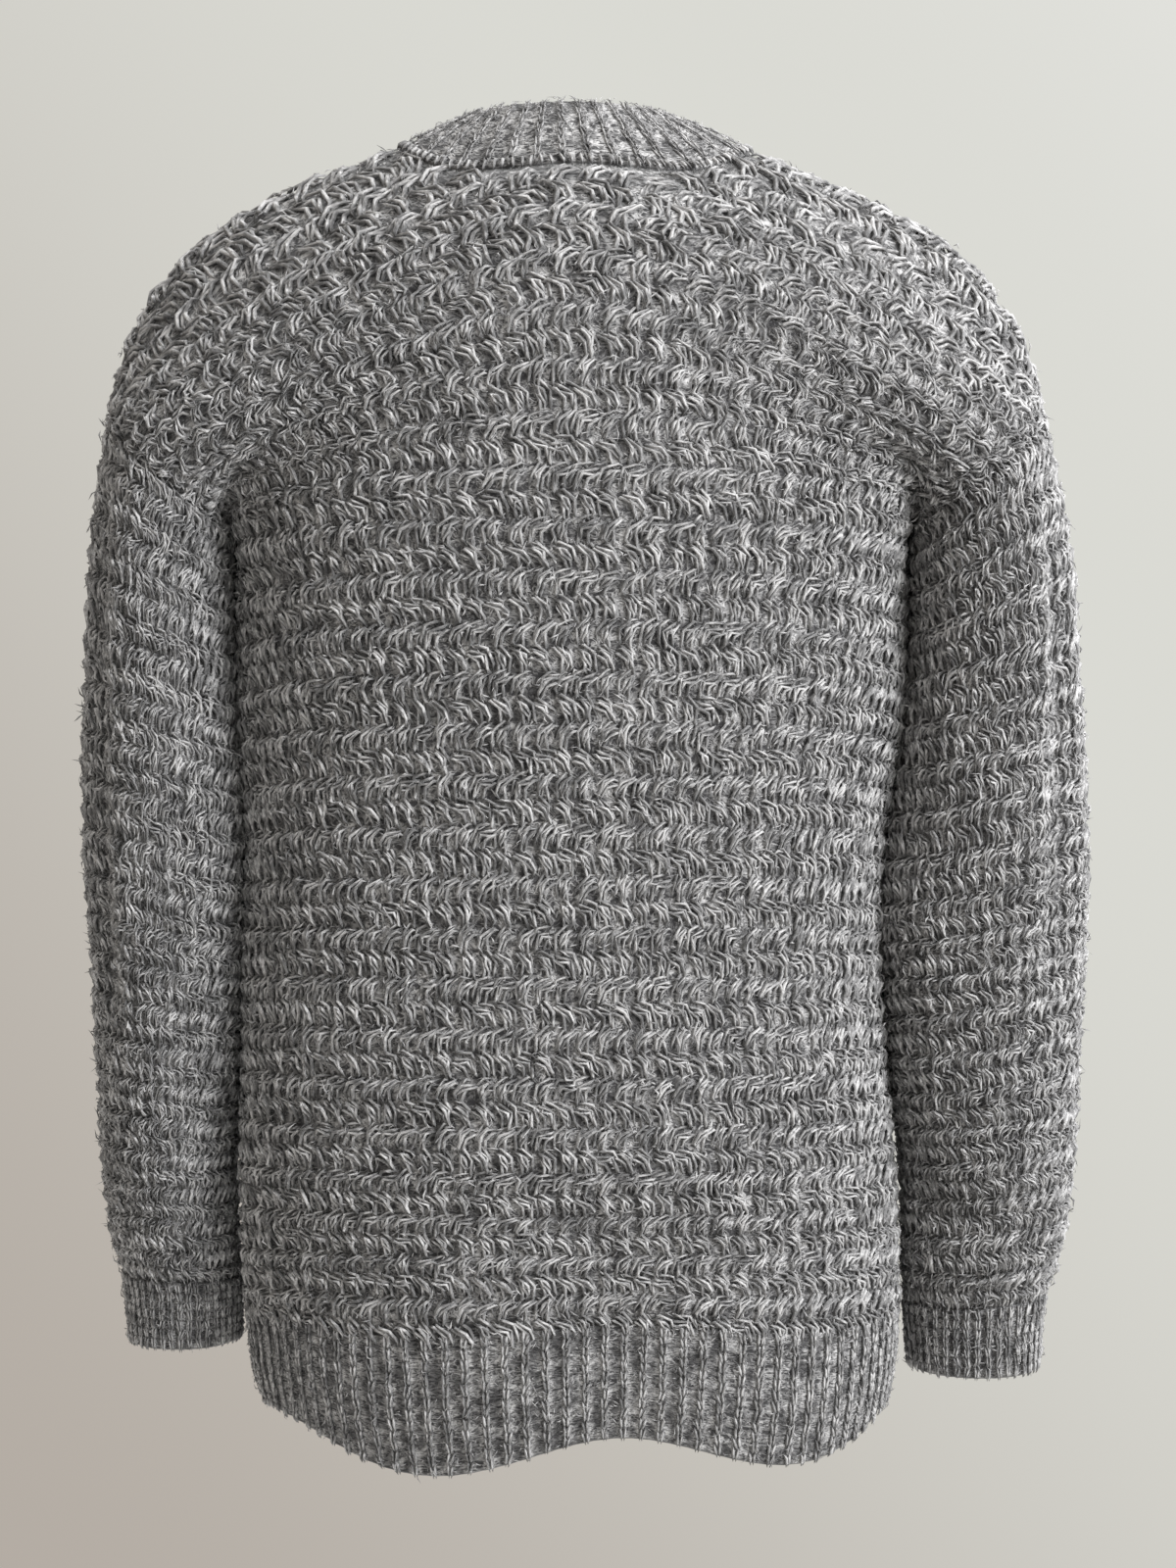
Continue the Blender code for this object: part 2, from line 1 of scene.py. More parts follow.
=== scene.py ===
"""Crewneck sweater in a chunky brushed knit: the knitting, its haze of fibres and the studio.

Each piece of the sweater is a thin closed wall of ground cloth with its stitches knitted on it as yarn, and a haze
of loose fibres over them. Metres, +Z up. The wearer faces -Y, and the wearer's left is +X.

A panel's own coordinates are its knitting: "band" counts rows of leaning stitches up from the hem rib, and
"share" runs from -1 at the wearer's right side over 0 at the middle to 1 at the left. A sleeve counts bands
down from its armhole, and "turn" runs round it: 0 under the arm, 0.5 at its back, 1 on top, 1.5 at its front.
"""

import collections
import math

import bmesh
import bpy
import numpy as np
from bpy.props import FloatProperty, FloatVectorProperty, IntProperty, PointerProperty
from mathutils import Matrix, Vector


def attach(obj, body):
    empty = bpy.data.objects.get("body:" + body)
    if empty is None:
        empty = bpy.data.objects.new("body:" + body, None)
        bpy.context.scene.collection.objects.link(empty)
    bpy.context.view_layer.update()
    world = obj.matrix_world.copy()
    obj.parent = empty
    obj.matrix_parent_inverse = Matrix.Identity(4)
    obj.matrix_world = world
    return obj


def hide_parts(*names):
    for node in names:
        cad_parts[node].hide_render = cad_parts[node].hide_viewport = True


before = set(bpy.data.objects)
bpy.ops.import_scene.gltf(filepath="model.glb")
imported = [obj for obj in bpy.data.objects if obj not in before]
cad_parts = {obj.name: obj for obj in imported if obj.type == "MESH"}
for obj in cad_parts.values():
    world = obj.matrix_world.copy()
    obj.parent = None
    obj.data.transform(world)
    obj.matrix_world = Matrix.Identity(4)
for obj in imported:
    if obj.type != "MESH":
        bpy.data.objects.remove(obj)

bl_info = {
    "name": "Chunky crewneck sweater",
    "version": (1, 0, 0),
    "blender": (4, 5, 0),
    "location": "3D View > Sidebar > Sweater",
    "description": "Knits a crewneck sweater: panels, sleeves and ribbed trims, with a haze of fibres",
    "category": "Mesh",
}

BODY = "root"
CENTIMETRES = 100


def table(columns, *rows):
    """Rows of values, each read by the names of their columns."""
    return [dict(zip(columns.split(), row)) for row in rows]


def ramp(value, start, full):
    """0 up to the start, 1 from where it is full, and an even S between them. It may rise or fall."""
    share = np.clip((value - start) / (full - start), 0.0, 1.0)
    return share * share * (3.0 - 2.0 * share)


# Knitting counts
BODY_BANDS = 52
ARMPIT_BAND = 34
HEM_BAND = -5
SLEEVE_BANDS = 42
CUFF_BAND = 46
PANEL_WALES = 48
SLEEVE_WALES = 46
SLEEVE_ROWS = 39

# How far apart a panel's wales stand, up from the hem: they spread out towards the shoulders, and where they
# spread further than the panel's edges give way, the outermost ones end at the armhole.
WALE_SPREAD = ((0, 1.0), (10, 1.0), (19, 1.035), (28, 1.07), (35.5, 1.18), (44, 1.38), (52, 1.45))
EDGE_GIVE = 0.20
OUTER_WALE = 1 - 0.5 / PANEL_WALES

# Which way a panel faces along Y
FACING = {"back": 1.0, "front": -1.0}

# Neck and shoulders
NECK_SHARE = 0.346
NECK_POINT = {"left": (0.090, 0.012, -0.006), "right": (0.089, 0.012, -0.008)}
SHOULDER_POINT = (0.2425, -0.005, -0.150)
SHOULDER_LEAVE = {"left": (0.220, 0.0, -0.085), "right": (0.218, 0.0, -0.098)}
SHOULDER_ARRIVE = (0.030, 0.0, -0.300)
SHOULDER_LEAN = (80.0, 90.0)
SHOULDER_ROUND = 1.15

# Neckline: its scoop, the band from which the ground's rows close up below it, and the bands that stitches keep
# clear of it
SCOOP_BANDS = {"back": 4.0, "front": 10.5}
SCOOP_POWER = 0.6
SCOOP_FROM_BAND = 28
NECK_CLEARANCE = 0.6

# Armholes, how the yoke's rows leave the middle and arrive at them, and how closely cloth follows its edge
ARMPIT_HEIGHT = -0.206
ARMPIT_X = {"left": 0.180, "right": 0.176}
ARMHOLE_Y = -0.005
ARMHOLE_HALF_DEPTH = 0.076
YOKE_LEAVE = (0.25, 0.0, 0.0)
YOKE_ARRIVE = (0.014, -0.060, -0.090)
EDGE_PULL = 8

# Neckband's top edge: half its width, y and z where it crosses the back, the sides and the front, and how late
# it dips from its sides. The band swells out a little between its edges.
COLLAR_MIDDLE_X = 0.004
COLLAR_HALF_WIDTH = 0.0525
COLLAR_BACK = (0.047, 0.0105)
COLLAR_SIDE = (-0.006, 0.0115)
COLLAR_FRONT = (-0.070, -0.046)
COLLAR_DIP = 1.5
COLLAR_SWELL = 0.0012

# How full a row's curve is at its corners, where 1.66 gives an ellipse, and in how many steps curves are read
ROW_FULLNESS = 1.80
CURVE_STEPS = 160

# One row for each section of the body, from the hem's edge up: the middle of the back and of the front as
# y and z, the half width on each side, and how far the row drops from its middle to its side. The last three
# are the yoke's, which ends at the armholes instead.
BODY_SECTIONS = table(
    "band back_y back_z front_y front_z left right drop",
    (-5.0, 0.1120, -0.6630, -0.104, -0.6620, 0.1610, 0.1600, -0.008),
    (-2.5, 0.1180, -0.6310, -0.109, -0.6310, 0.1665, 0.1635, 0.006),
    (0.0, 0.1195, -0.6000, -0.112, -0.6000, 0.1700, 0.1655, 0.012),
    (8.0, 0.1180, -0.5180, -0.115, -0.5180, 0.1734, 0.1635, 0.008),
    (17.0, 0.1095, -0.4110, -0.117, -0.4110, 0.1698, 0.1545, 0.006),
    (22.0, 0.1080, -0.3490, -0.121, -0.3490, 0.1683, 0.1570, 0.007),
    (27.0, 0.1110, -0.2870, -0.127, -0.2870, 0.1730, 0.1675, 0.009),
    (32.5, 0.1145, -0.2190, -0.130, -0.2190, 0.1752, 0.1712, 0.008),
    (34.0, 0.1150, -0.2000, -0.129, -0.2000, 0.1800, 0.1760, 0.006),
    (38.0, 0.1135, -0.1480, -0.119, -0.1480, None, None, None),
    (48.0, 0.0720, -0.0250, -0.050, -0.0260, None, None, None),
    (52.0, 0.0120, 0.0010, 0.012, 0.0010, None, None, None),
)
BODY_KNOTS = np.array([section["band"] for section in BODY_SECTIONS])
YOKE_SECTIONS = 3

# One row for each section of a sleeve, from just under the armpit to the cuff's edge.
SLEEVE_COLUMNS = "band height inner outer y half_depth tilt"
SLEEVE_SECTIONS = {
    "left": table(
        SLEEVE_COLUMNS,
        (5.0, -0.236, 0.1838, 0.2510, -0.005, 0.0750, 0.036),
        (9.0, -0.285, 0.1815, 0.2535, -0.006, 0.0720, 0.026),
        (13.5, -0.335, 0.1775, 0.2553, -0.007, 0.0695, 0.022),
        (18.0, -0.385, 0.1768, 0.2545, -0.008, 0.0670, 0.019),
        (23.5, -0.435, 0.1790, 0.2512, -0.009, 0.0645, 0.016),
        (29.0, -0.485, 0.1810, 0.2484, -0.010, 0.0615, 0.013),
        (35.0, -0.535, 0.1814, 0.2460, -0.011, 0.0560, 0.009),
        (39.5, -0.572, 0.1806, 0.2420, -0.012, 0.0465, 0.006),
        (42.0, -0.592, 0.1795, 0.2365, -0.013, 0.0360, 0.004),
        (46.0, -0.6265, 0.1800, 0.2330, -0.014, 0.0325, 0.000),
    ),
    "right": table(
        SLEEVE_COLUMNS,
        (5.0, -0.236, 0.1790, 0.2560, -0.005, 0.0750, 0.036),
        (9.0, -0.285, 0.1760, 0.2600, -0.006, 0.0720, 0.024),
        (13.5, -0.335, 0.1680, 0.2638, -0.007, 0.0695, 0.020),
        (18.0, -0.385, 0.1620, 0.2655, -0.008, 0.0670, 0.018),
        (23.5, -0.435, 0.1640, 0.2640, -0.009, 0.0645, 0.016),
        (29.0, -0.487, 0.1690, 0.2610, -0.010, 0.0615, 0.013),
        (35.0, -0.540, 0.1730, 0.2580, -0.011, 0.0565, 0.009),
        (39.5, -0.582, 0.1738, 0.2520, -0.012, 0.0480, 0.006),
        (42.0, -0.605, 0.1752, 0.2445, -0.013, 0.0380, 0.004),
        (46.0, -0.6410, 0.1780, 0.2410, -0.014, 0.0345, 0.000),
    ),
}

# Under the arms the body's sides and the sleeves press towards each other, this far each: where that starts and
# is full, across as a panel's share or the cosine of a sleeve's angle, and up and down as bands
PRESS = 0.0030
PANEL_PRESS = ((0.75, 0.95), (10, 18), (ARMPIT_BAND, ARMPIT_BAND - 4))
SLEEVE_PRESS = ((0.3, 0.7), (0, 4), (34, 26))

# Soft folds, each a straight trough in the cloth between two places in a piece's own coordinates
FOLDS = table(
    "piece across_0 band_0 across_1 band_1 width depth",
    ("back", 0.99, 33.0, 0.84, 38.5, 0.013, 0.0060),
    ("back", -0.99, 33.0, -0.82, 39.5, 0.015, 0.0065),
    ("back", 0.93, 30.0, 0.55, 24.0, 0.022, 0.0020),
    ("back", -0.95, 31.0, -0.60, 23.0, 0.024, 0.0022),
    ("back", -0.12, -6.0, -0.05, 6.0, 0.030, 0.0060),
    ("back", 0.75, -3.0, 0.40, 10.0, 0.030, 0.0025),
    ("front", 0.99, 33.0, 0.82, 38.5, 0.014, 0.0060),
    ("front", -0.99, 33.0, -0.83, 39.0, 0.014, 0.0060),
    ("front", 0.90, 30.0, 0.50, 33.5, 0.020, 0.0025),
    ("front", -0.92, 29.5, -0.48, 33.0, 0.020, 0.0025),
    ("front", 0.60, -4.0, 0.35, 14.0, 0.028, 0.0030),
    ("front", -0.50, -4.0, -0.30, 12.0, 0.028, 0.0030),
    ("left", 0.73, 3.0, 0.70, 26.0, 0.0065, 0.0060),
    ("right", 0.72, 3.0, 0.69, 23.0, 0.0070, 0.0065),
    ("left", 1.30, 5.0, 1.36, 24.0, 0.0080, 0.0040),
    ("right", 1.28, 5.0, 1.34, 26.0, 0.0080, 0.0045),
    ("left", 0.18, 12.0, 0.55, 20.0, 0.0140, 0.0025),
    ("right", 0.16, 13.0, 0.52, 21.0, 0.0150, 0.0030),
    ("left", 0.25, 36.0, 0.70, 38.0, 0.0090, 0.0030),
    ("right", 0.20, 35.5, 0.68, 38.0, 0.0100, 0.0035),
)

# What a step of 1 across and of 1 band measures in a fold's coordinates, how much of its length a fold fades over
# at each end, and where seams hold the cloth flat
PANEL_SCALE = (0.245, 0.0123)
SLEEVE_SCALE = (0.180, 0.0100)
FOLD_FADE = 0.125
HELD_SHARE = 0.06
HELD_BANDS = 2.5

# The hem's edge rises at the middle of the back and hangs lower to each side of it, and the wave ends a few bands
# above the rib.
HEM_WAVE = {"back": 0.0095, "front": 0.0030}
HEM_WAVE_AT = {"back": -0.10, "front": 0.05}
HEM_WAVE_LENGTH = 0.90
HEM_WAVE_TOP_BAND = 3.0

# A leaning stitch, from root to root: right and up as shares of its room, and out of the middle surface in metres.
# It is brushed open into strands beside this path, which stray a little from it and lie apart on the yarn's map, in
# centimetres. Stitches are shifted a little too, and their rooms differ.
STITCH_ROOM = (0.0094, 0.0123)
STITCH_SHIFT = 0.0003
ROOM_STRAY = 0.05
STITCH_PATH = (
    (-0.34, -0.18, -0.0020),
    (-0.38, 0.22, 0.0006),
    (-0.16, 0.62, 0.0020),
    (0.26, 0.88, 0.0013),
    (0.72, 0.98, -0.0020),
)
STITCH_STRANDS = ((-0.19, 0.14, -0.0006), (-0.05, 0.04, 0.0006), (0.08, -0.05, 0.0008), (0.22, -0.16, -0.0002))
STITCH_STRAY = (0.11, 0.085, 0.0008)
STITCH_GIRTH = (0.2, 1.0, 1.1, 1.0, 0.2)
STITCH_SIDES = 3
STITCH_KINDS = 4
STRAND_APART = 3.1
PATTERN_KINDS = 2 * STITCH_KINDS

# A rib's stitch is a V of two legs: its height, how narrow and wide it may get, how far it is shifted, and where
# one leg runs, in metres from the middle of its room
RIB_STITCH_HEIGHT = 0.0052
RIB_STITCH_WIDE = (0.75, 1.15)
RIB_SHIFT = 0.0002
LEG_PATH = (
    (0.0006, -0.0044, 0.0002),
    (0.0008, -0.0014, 0.0010),
    (0.0011, 0.0014, 0.0010),
    (0.0015, 0.0044, 0.0002),
)
LEG_GIRTH = (0.2, 1.0, 1.0, 0.2)
LEG_SIDES = 3

# Ground cloth: its faces from the middle surface, how far rounded rims bulge, and its stations across and along
GROUND_FACES = (-0.0004, -0.0020)
RIB_GROUND_FACES = (0.0006, -0.0015)
RIM_ROUND = 0.0011
PANEL_STATIONS = (52, 52)
SLEEVE_STATIONS = (40, 34)
STATIONS_PER_RIB = 4

# Each kind of trim: where it starts and ends, which way its stitches rise, whether it closes round, its rims, its
# ribs and rows of stitches, how far its ribs swell, how thick their legs are, the fibres on each stitch and the
# finish of its ground
HEM, CUFF, NECK = table(
    "span upward wrap rounded ribs rows swell thick fibres ground",
    ((HEM_BAND, 0), 1.0, False, (RIM_ROUND, 0.0), 48, 12, 0.0010, 0.80, 5, "rib_ground"),
    ((SLEEVE_BANDS, CUFF_BAND), -1.0, True, (0.0, RIM_ROUND), 40, 7, 0.0012, 0.85, 5, "rib_ground"),
    ((0, 1), 1.0, True, (0.0, RIM_ROUND), 48, 8, 0.0005, 0.50, 12, "neck_ground"),
)

# The row of short stitches that links the neckband to the panels: how many, how far they stand off the ribs'
# ground, their height on the band and the step to the next row, as shares of its height, and where each runs in
# metres
LINKS = 132
LINK_OUT = 0.0006
LINK_RISE = 0.02
LINK_STEP = 0.07
LINK_PATH = ((0.0, -0.0043, 0.0), (0.0002, -0.0014, 0.0018), (-0.0002, 0.0014, 0.0018), (0.0, 0.0043, -0.0004))
LINK_GIRTH = (0.3, 0.95, 0.95, 0.3)

# A loose fibre starts between two shares of a strand's length, leans out of the cloth, stands off its strand by
# between two amounts, scatters, and lies partly behind its start. Most of them point forward along the strand. The
# flat ones lie across their stitch's room, on the ground.
FIBRE_FROM = (0.15, 0.90)
FIBRE_LEAN = 0.25
FIBRE_STAND = (0.15, 0.95)
FIBRE_FORWARD = 0.7
FIBRE_SCATTER = 0.42
FIBRE_BEHIND = 0.35
FLAT_FIBRE_ROOM = ((-0.5, -0.1, 0.0), (0.5, 0.9, 0.0012))
FLAT_FIBRE_WAY = (1.0, 0.5, 0.12)

# How loose fibres differ: how even their lengths are, the limits of their lengths, widths and heights, and how much
# shorter and thinner the standing ones are. Bent ones are a little longer, and bowed.
FIBRE_LENGTH_SHAPE = 6.0
FIBRE_LENGTHS = (0.5, 1.5)
FIBRE_WIDTHS = (0.7, 1.3)
FIBRE_HEIGHTS = (0.8, 1.6)
STANDING_SHORTER = 0.6
STANDING_THINNER = 0.65
BENT_LONGER = 1.1
BENT_BOW = 0.22

# The studio: the camera, the floor and how much darker its grain is, and where each light stands, how wide it is,
# its colour and its setting
CAMERA_AT = (-0.006, 1.5, -0.335)
CAMERA_LENS = 65.8
FLOOR_HEIGHT = -1.45
FLOOR_RADIUS = 2.3
FLOOR_SIDES = 96
FLOOR_GRAIN = 0.96
LIGHTS_AIM = (0.0, 0.0, -0.30)
LIGHTS = (
    ("key", (-1.15, 1.1, 0.2), 1.0, (0.97, 0.985, 1.0), "key_power"),
    ("top", (-0.3, 0.5, 1.7), 1.2, (1.0, 1.0, 1.0), "top_power"),
    ("fill", (1.9, 1.3, -0.2), 1.4, (1.0, 0.90, 0.84), "fill_power"),
    ("front_fill", (-0.7, -2.2, 0.5), 1.8, (1.0, 0.98, 0.96), "front_power"),
)

# How the surround's four tones lie from the window's side to the dark one, and how that way slopes
WALL_SPREAD = (-0.90, 0.90)
WALL_STOPS = (0.0, 0.38, 0.74, 1.0)
WALL_SLOPE = -0.8

# Places for patterns: where each is, its right, up and out, its room, and whether its stitch leans left
Places = collections.namedtuple("Places", "at right up out room left")


# ---- The garment's form -------------------------------------------------------------------------------------


def unit(vectors):
    return vectors / np.linalg.norm(vectors, axis=-1, keepdims=True)


def hermite(start, end, leave, arrive, at):
    """A cubic from start to end that leaves and arrives with the given slopes, read at shares 0 to 1."""
    return (
        (2 * at**3 - 3 * at**2 + 1) * start
        + (at**3 - 2 * at**2 + at) * leave
        + (3 * at**2 - 2 * at**3) * end
        + (at**3 - at**2) * arrive
    )


def through(knots, values, slopes, at):
    """A smooth curve through values at rising knots, with a given slope at each, read at the places in at."""
    at = np.clip(at, knots[0], knots[-1])
    index = np.clip(np.searchsorted(knots, at, side="right") - 1, 0, len(knots) - 2)
    span = (knots[index + 1] - knots[index]).reshape((-1,) + (1,) * (values.ndim - 1))
    place = (at - knots[index]).reshape(span.shape) / span
    return hermite(values[index], values[index + 1], slopes[index] * span, slopes[index + 1] * span, place)


def curve(start, end, leave, arrive):
    place = np.linspace(0.0, 1.0, CURVE_STEPS)[:, None]
    return hermite(np.array(start), np.array(end), np.array(leave), np.array(arrive), place)


def lengths(points):
    """How far along a polyline each of its points lies."""
    return np.append(0.0, np.cumsum(np.linalg.norm(np.diff(points, axis=0), axis=1)))


def read(at, knots, values):
    """Values read between knots along straight lines, for each of their columns."""
    return np.stack([np.interp(at, knots, values[:, axis]) for axis in range(values.shape[1])], axis=-1)


def along(points, share):
    """Points at the given shares of a polyline's length."""
    length = lengths(points)
    return read(np.clip(share, 0, 1) * length[-1], length, points)


def armhole(side, turn):
    """The armhole: a tilted ellipse from the armpit over the back of the arm, its top and its front."""
    angle = math.pi * turn
    rise = 0.5 - 0.5 * np.cos(angle)
    x = ARMPIT_X[side] + (SHOULDER_POINT[0] - ARMPIT_X[side]) * rise
    y = ARMHOLE_Y + ARMHOLE_HALF_DEPTH * np.sin(angle)
    z = ARMPIT_HEIGHT + (SHOULDER_POINT[2] - ARMPIT_HEIGHT) * rise
    return np.stack([x, y, z], axis=-1)


def armhole_turn(face, band):
    """The turn round the armhole where a panel's band ends."""
    share = (band - ARMPIT_BAND) / (BODY_BANDS - ARMPIT_BAND)
    return share if face == "back" else 2.0 - share


def side_seam(side, band):
    """The body's side seam, from the hem's edge up to the armpit."""
    knots, rows = BODY_KNOTS[:-YOKE_SECTIONS], BODY_SECTIONS[:-YOKE_SECTIONS]
    points = np.array([(row[side], ARMHOLE_Y, row["back_z"] - row["drop"]) for row in rows])
    return through(knots, points, np.gradient(points, knots, axis=0), band)


def panel_edge(side, face, band):
    """A panel's side edge: the side seam up to the armpit, and from there half of the armhole."""
    seam = side_seam(side, np.minimum(band, ARMPIT_BAND))
    hole = armhole(side, armhole_turn(face, np.maximum(band, ARMPIT_BAND)))
    return np.where(band[:, None] <= ARMPIT_BAND, seam, hole)


def section_curve(section, side, face, share):
    """One section of a panel's half, from its middle to its side, read at shares 0 to 1."""
    middle = np.array([0.0, section[face + "_y"], section[face + "_z"]])
    if section["band"] == BODY_BANDS:
        neck = np.array(NECK_POINT[side])
        over_neck = curve(middle, neck, (neck[0], 0, 0), np.multiply(SHOULDER_LEAVE[side], NECK_SHARE))
        shoulder = curve(neck, SHOULDER_POINT, SHOULDER_LEAVE[side], SHOULDER_ARRIVE)
        inner = along(over_neck, share / NECK_SHARE)
        outer = along(shoulder, (share - NECK_SHARE) / (1 - NECK_SHARE))
        return np.where(share[:, None] <= NECK_SHARE, inner, outer)
    if section["band"] > ARMPIT_BAND:
        end = armhole(side, armhole_turn(face, section["band"]))
        return along(curve(middle, end, YOKE_LEAVE, np.multiply(YOKE_ARRIVE, (1, FACING[face], 1))), share)
    depth = middle[1] - ARMHOLE_Y
    end = middle + (section[side], -depth, -section["drop"])
    leave = (ROW_FULLNESS * section[side], 0, 0)
    arrive = (0, -ROW_FULLNESS * depth, -2 * section["drop"])
    return along(curve(middle, end, leave, arrive), share)


def section_slopes(rows, face, share):
    """How the cloth runs on from section to section, and leans forward where it ends on the shoulder."""
    slopes = np.gradient(rows, BODY_KNOTS, axis=0)
    yoke = -YOKE_SECTIONS
    slopes[yoke] = (rows[yoke] - rows[yoke - 1]) / (BODY_KNOTS[yoke] - BODY_KNOTS[yoke - 1])
    lean = np.radians(np.interp(share, (0.0, 1.0), SHOULDER_LEAN))
    over = np.stack([np.zeros_like(lean), -FACING[face] * np.sin(lean), np.cos(lean)], axis=-1)
    reach = np.linalg.norm(rows[-1] - rows[-2], axis=-1, keepdims=True)
    slopes[-1] = over * reach * SHOULDER_ROUND / (BODY_KNOTS[-1] - BODY_KNOTS[-2])
    return slopes


def hem_wave(face, share, band):
    swing = np.cos(2 * math.pi * (share - HEM_WAVE_AT[face]) / HEM_WAVE_LENGTH) * (1 - share**4)
    return HEM_WAVE[face] * swing * ramp(band, HEM_WAVE_TOP_BAND, HEM_BAND)


def panel_form(face, share, band):
    """A panel's middle surface without its folds: a column of points for each share, at that column's bands."""
    points = np.empty(band.shape + (3,))
    for side, sign in (("left", 1.0), ("right", -1.0)):
        here = np.flatnonzero(share >= 0 if side == "left" else share < 0)
        reach = np.append(np.abs(share[here]), 1.0)
        rows = np.array([section_curve(section, side, face, reach) for section in BODY_SECTIONS])
        slopes = section_slopes(rows, face, reach)
        for place, index in enumerate(here):
            at = band[:, index]
            line, side_line = (through(BODY_KNOTS, rows[:, one], slopes[:, one], at) for one in (place, -1))
            line += reach[place] ** EDGE_PULL * (panel_edge(side, face, at) - side_line)
            points[:, index] = line * (sign, 1.0, 1.0)
    points[..., 2] += hem_wave(face, share, band)
    return points


def neckline_band(face, share):
    """The band where a panel ends at its top: its neckline is scooped out below the shoulder seams."""
    return BODY_BANDS - SCOOP_BANDS[face] * np.clip(1 - (share / NECK_SHARE) ** 2, 0, 1) ** SCOOP_POWER


def fold_depth(piece, across, band, scale):
    """How deep a piece's soft folds are at each of its points."""
    depth = np.zeros(np.broadcast(across, band).shape)
    here = np.stack(np.broadcast_arrays(across * scale[0], band * scale[1]), axis=-1)
    for fold in (fold for fold in FOLDS if fold["piece"] == piece):
        start = np.multiply((fold["across_0"], fold["band_0"]), scale)
        run = np.multiply((fold["across_1"], fold["band_1"]), scale) - start
        length = np.linalg.norm(run)
        run /= length
        far = (here - start) @ run / length
        off = (here - start) @ (-run[1], run[0])
        ends = ramp(far, -FOLD_FADE, FOLD_FADE) * ramp(far, 1 + FOLD_FADE, 1 - FOLD_FADE)
        depth += fold["depth"] * np.exp(-0.5 * (off / fold["width"]) ** 2) * ends
    return depth


def beside(points, wrap):
    """From each point's neighbour on one side to its neighbour on the other, for one step across the piece."""
    if wrap:
        return (np.roll(points, -1, axis=1) - np.roll(points, 1, axis=1)) / 2
    return np.gradient(points, axis=1)


def facing_out(points, facing, wrap):
    """Each point's outward normal, from its neighbours across the piece and along its bands."""
    return facing * unit(np.cross(np.gradient(points, axis=0), beside(points, wrap)))


def pressed(across, band, limits):
    """How far each point presses towards the other side under the arm."""
    return PRESS * math.prod(ramp(value, *limit) for value, limit in zip((across, band, band), limits))


def moved_out(points, way, facing, wrap):
    """A surface moved out by the given ways, and its outward normals."""
    points += way[..., None] * facing_out(points, facing, wrap)
    return points, facing_out(points, facing, wrap)


def panel(face, share, band):
    """A panel's middle surface with its folds, and its outward normals."""
    away = np.abs(share)
    held = ramp(away, 1, 1 - HELD_SHARE) * ramp(band, BODY_BANDS, BODY_BANDS - HELD_BANDS)
    way = pressed(away, band, PANEL_PRESS) - fold_depth(face, share, band, PANEL_SCALE) * held
    return moved_out(panel_form(face, share, band), way, FACING[face], False)


def sleeve(side, turn, band):
    """A sleeve's middle surface with its folds, and its outward normals."""
    angle = math.pi * turn
    band = band[:, None]
    knots = np.array([0.0] + [section["band"] for section in SLEEVE_SECTIONS[side]])
    rows = [armhole(side, turn)]
    for section in SLEEVE_SECTIONS[side]:
        middle = (section["outer"] + section["inner"]) / 2
        half = (section["outer"] - section["inner"]) / 2
        x = middle - half * np.cos(angle)
        y = section["y"] + section["half_depth"] * np.sin(angle)
        z = section["height"] - section["tilt"] / 2 * np.cos(angle)
        rows.append(np.stack([x, y, z], axis=-1))
    rows = np.array(rows)
    points = through(knots, rows, np.gradient(rows, knots, axis=0), band[:, 0])
    held = ramp(band, 0, HELD_BANDS) * ramp(band, SLEEVE_BANDS, SLEEVE_BANDS - HELD_BANDS)
    way = pressed(np.cos(angle), band, SLEEVE_PRESS) - fold_depth(side, turn, band, SLEEVE_SCALE) * held
    points, normals = moved_out(points, way, -1.0, True)
    mirror = (-1 if side == "right" else 1, 1, 1)
    return points * mirror, normals * mirror


def collar_edge(angle):
    """The neckband's top edge, at angles from the middle of the back towards the wearer's left."""
    ahead = np.cos(angle) < 0
    end = np.where(ahead[:, None], COLLAR_FRONT, COLLAR_BACK)
    bow = np.abs(np.cos(angle))[:, None]
    y_z = COLLAR_SIDE + (end - COLLAR_SIDE) * np.concatenate([bow, bow**COLLAR_DIP], axis=1)
    x = COLLAR_MIDDLE_X + COLLAR_HALF_WIDTH * np.sin(angle)
    return np.concatenate([x[:, None], y_z], axis=1)


def neckline():
    """The panels' neckline, round from the middle of the back towards the wearer's left."""
    share = np.linspace(-NECK_SHARE, NECK_SHARE, CURVE_STEPS + 1)
    middle = CURVE_STEPS // 2
    back, front = (panel_form(face, share, neckline_band(face, share)[None, :])[0] for face in ("back", "front"))
    return np.concatenate([back[middle:], front[-2::-1], back[1 : middle + 1]])


def neckband(around, rise):
    """The neckband's middle surface and normals, from the neckline at a rise of 0 to its top edge at 1."""
    lower = neckline()
    top = collar_edge(2 * math.pi * np.linspace(0, 1, CURVE_STEPS))
    start, end = along(lower, around), along(top, around)
    rise = rise[:, None]
    points = start + (end - start) * rise[..., None]
    return moved_out(points, COLLAR_SWELL * np.sin(math.pi * rise), 1.0, True)


# ---- Node trees ---------------------------------------------------------------------------------------------


class Term:
    """A result on its way through a node tree: sums on it add the nodes that work them out."""

    def __init__(self, nodes, socket):
        self.nodes = nodes
        self.socket = socket

    def __add__(self, other):
        return self.nodes.sum("ADD", self, other)

    def __sub__(self, other):
        return self.nodes.sum("SUBTRACT", self, other)

    def __rsub__(self, other):
        return self.nodes.sum("SUBTRACT", other, self)

    def __mul__(self, other):
        return self.nodes.sum("MULTIPLY", self, other)

    __radd__ = __add__
    __rmul__ = __mul__


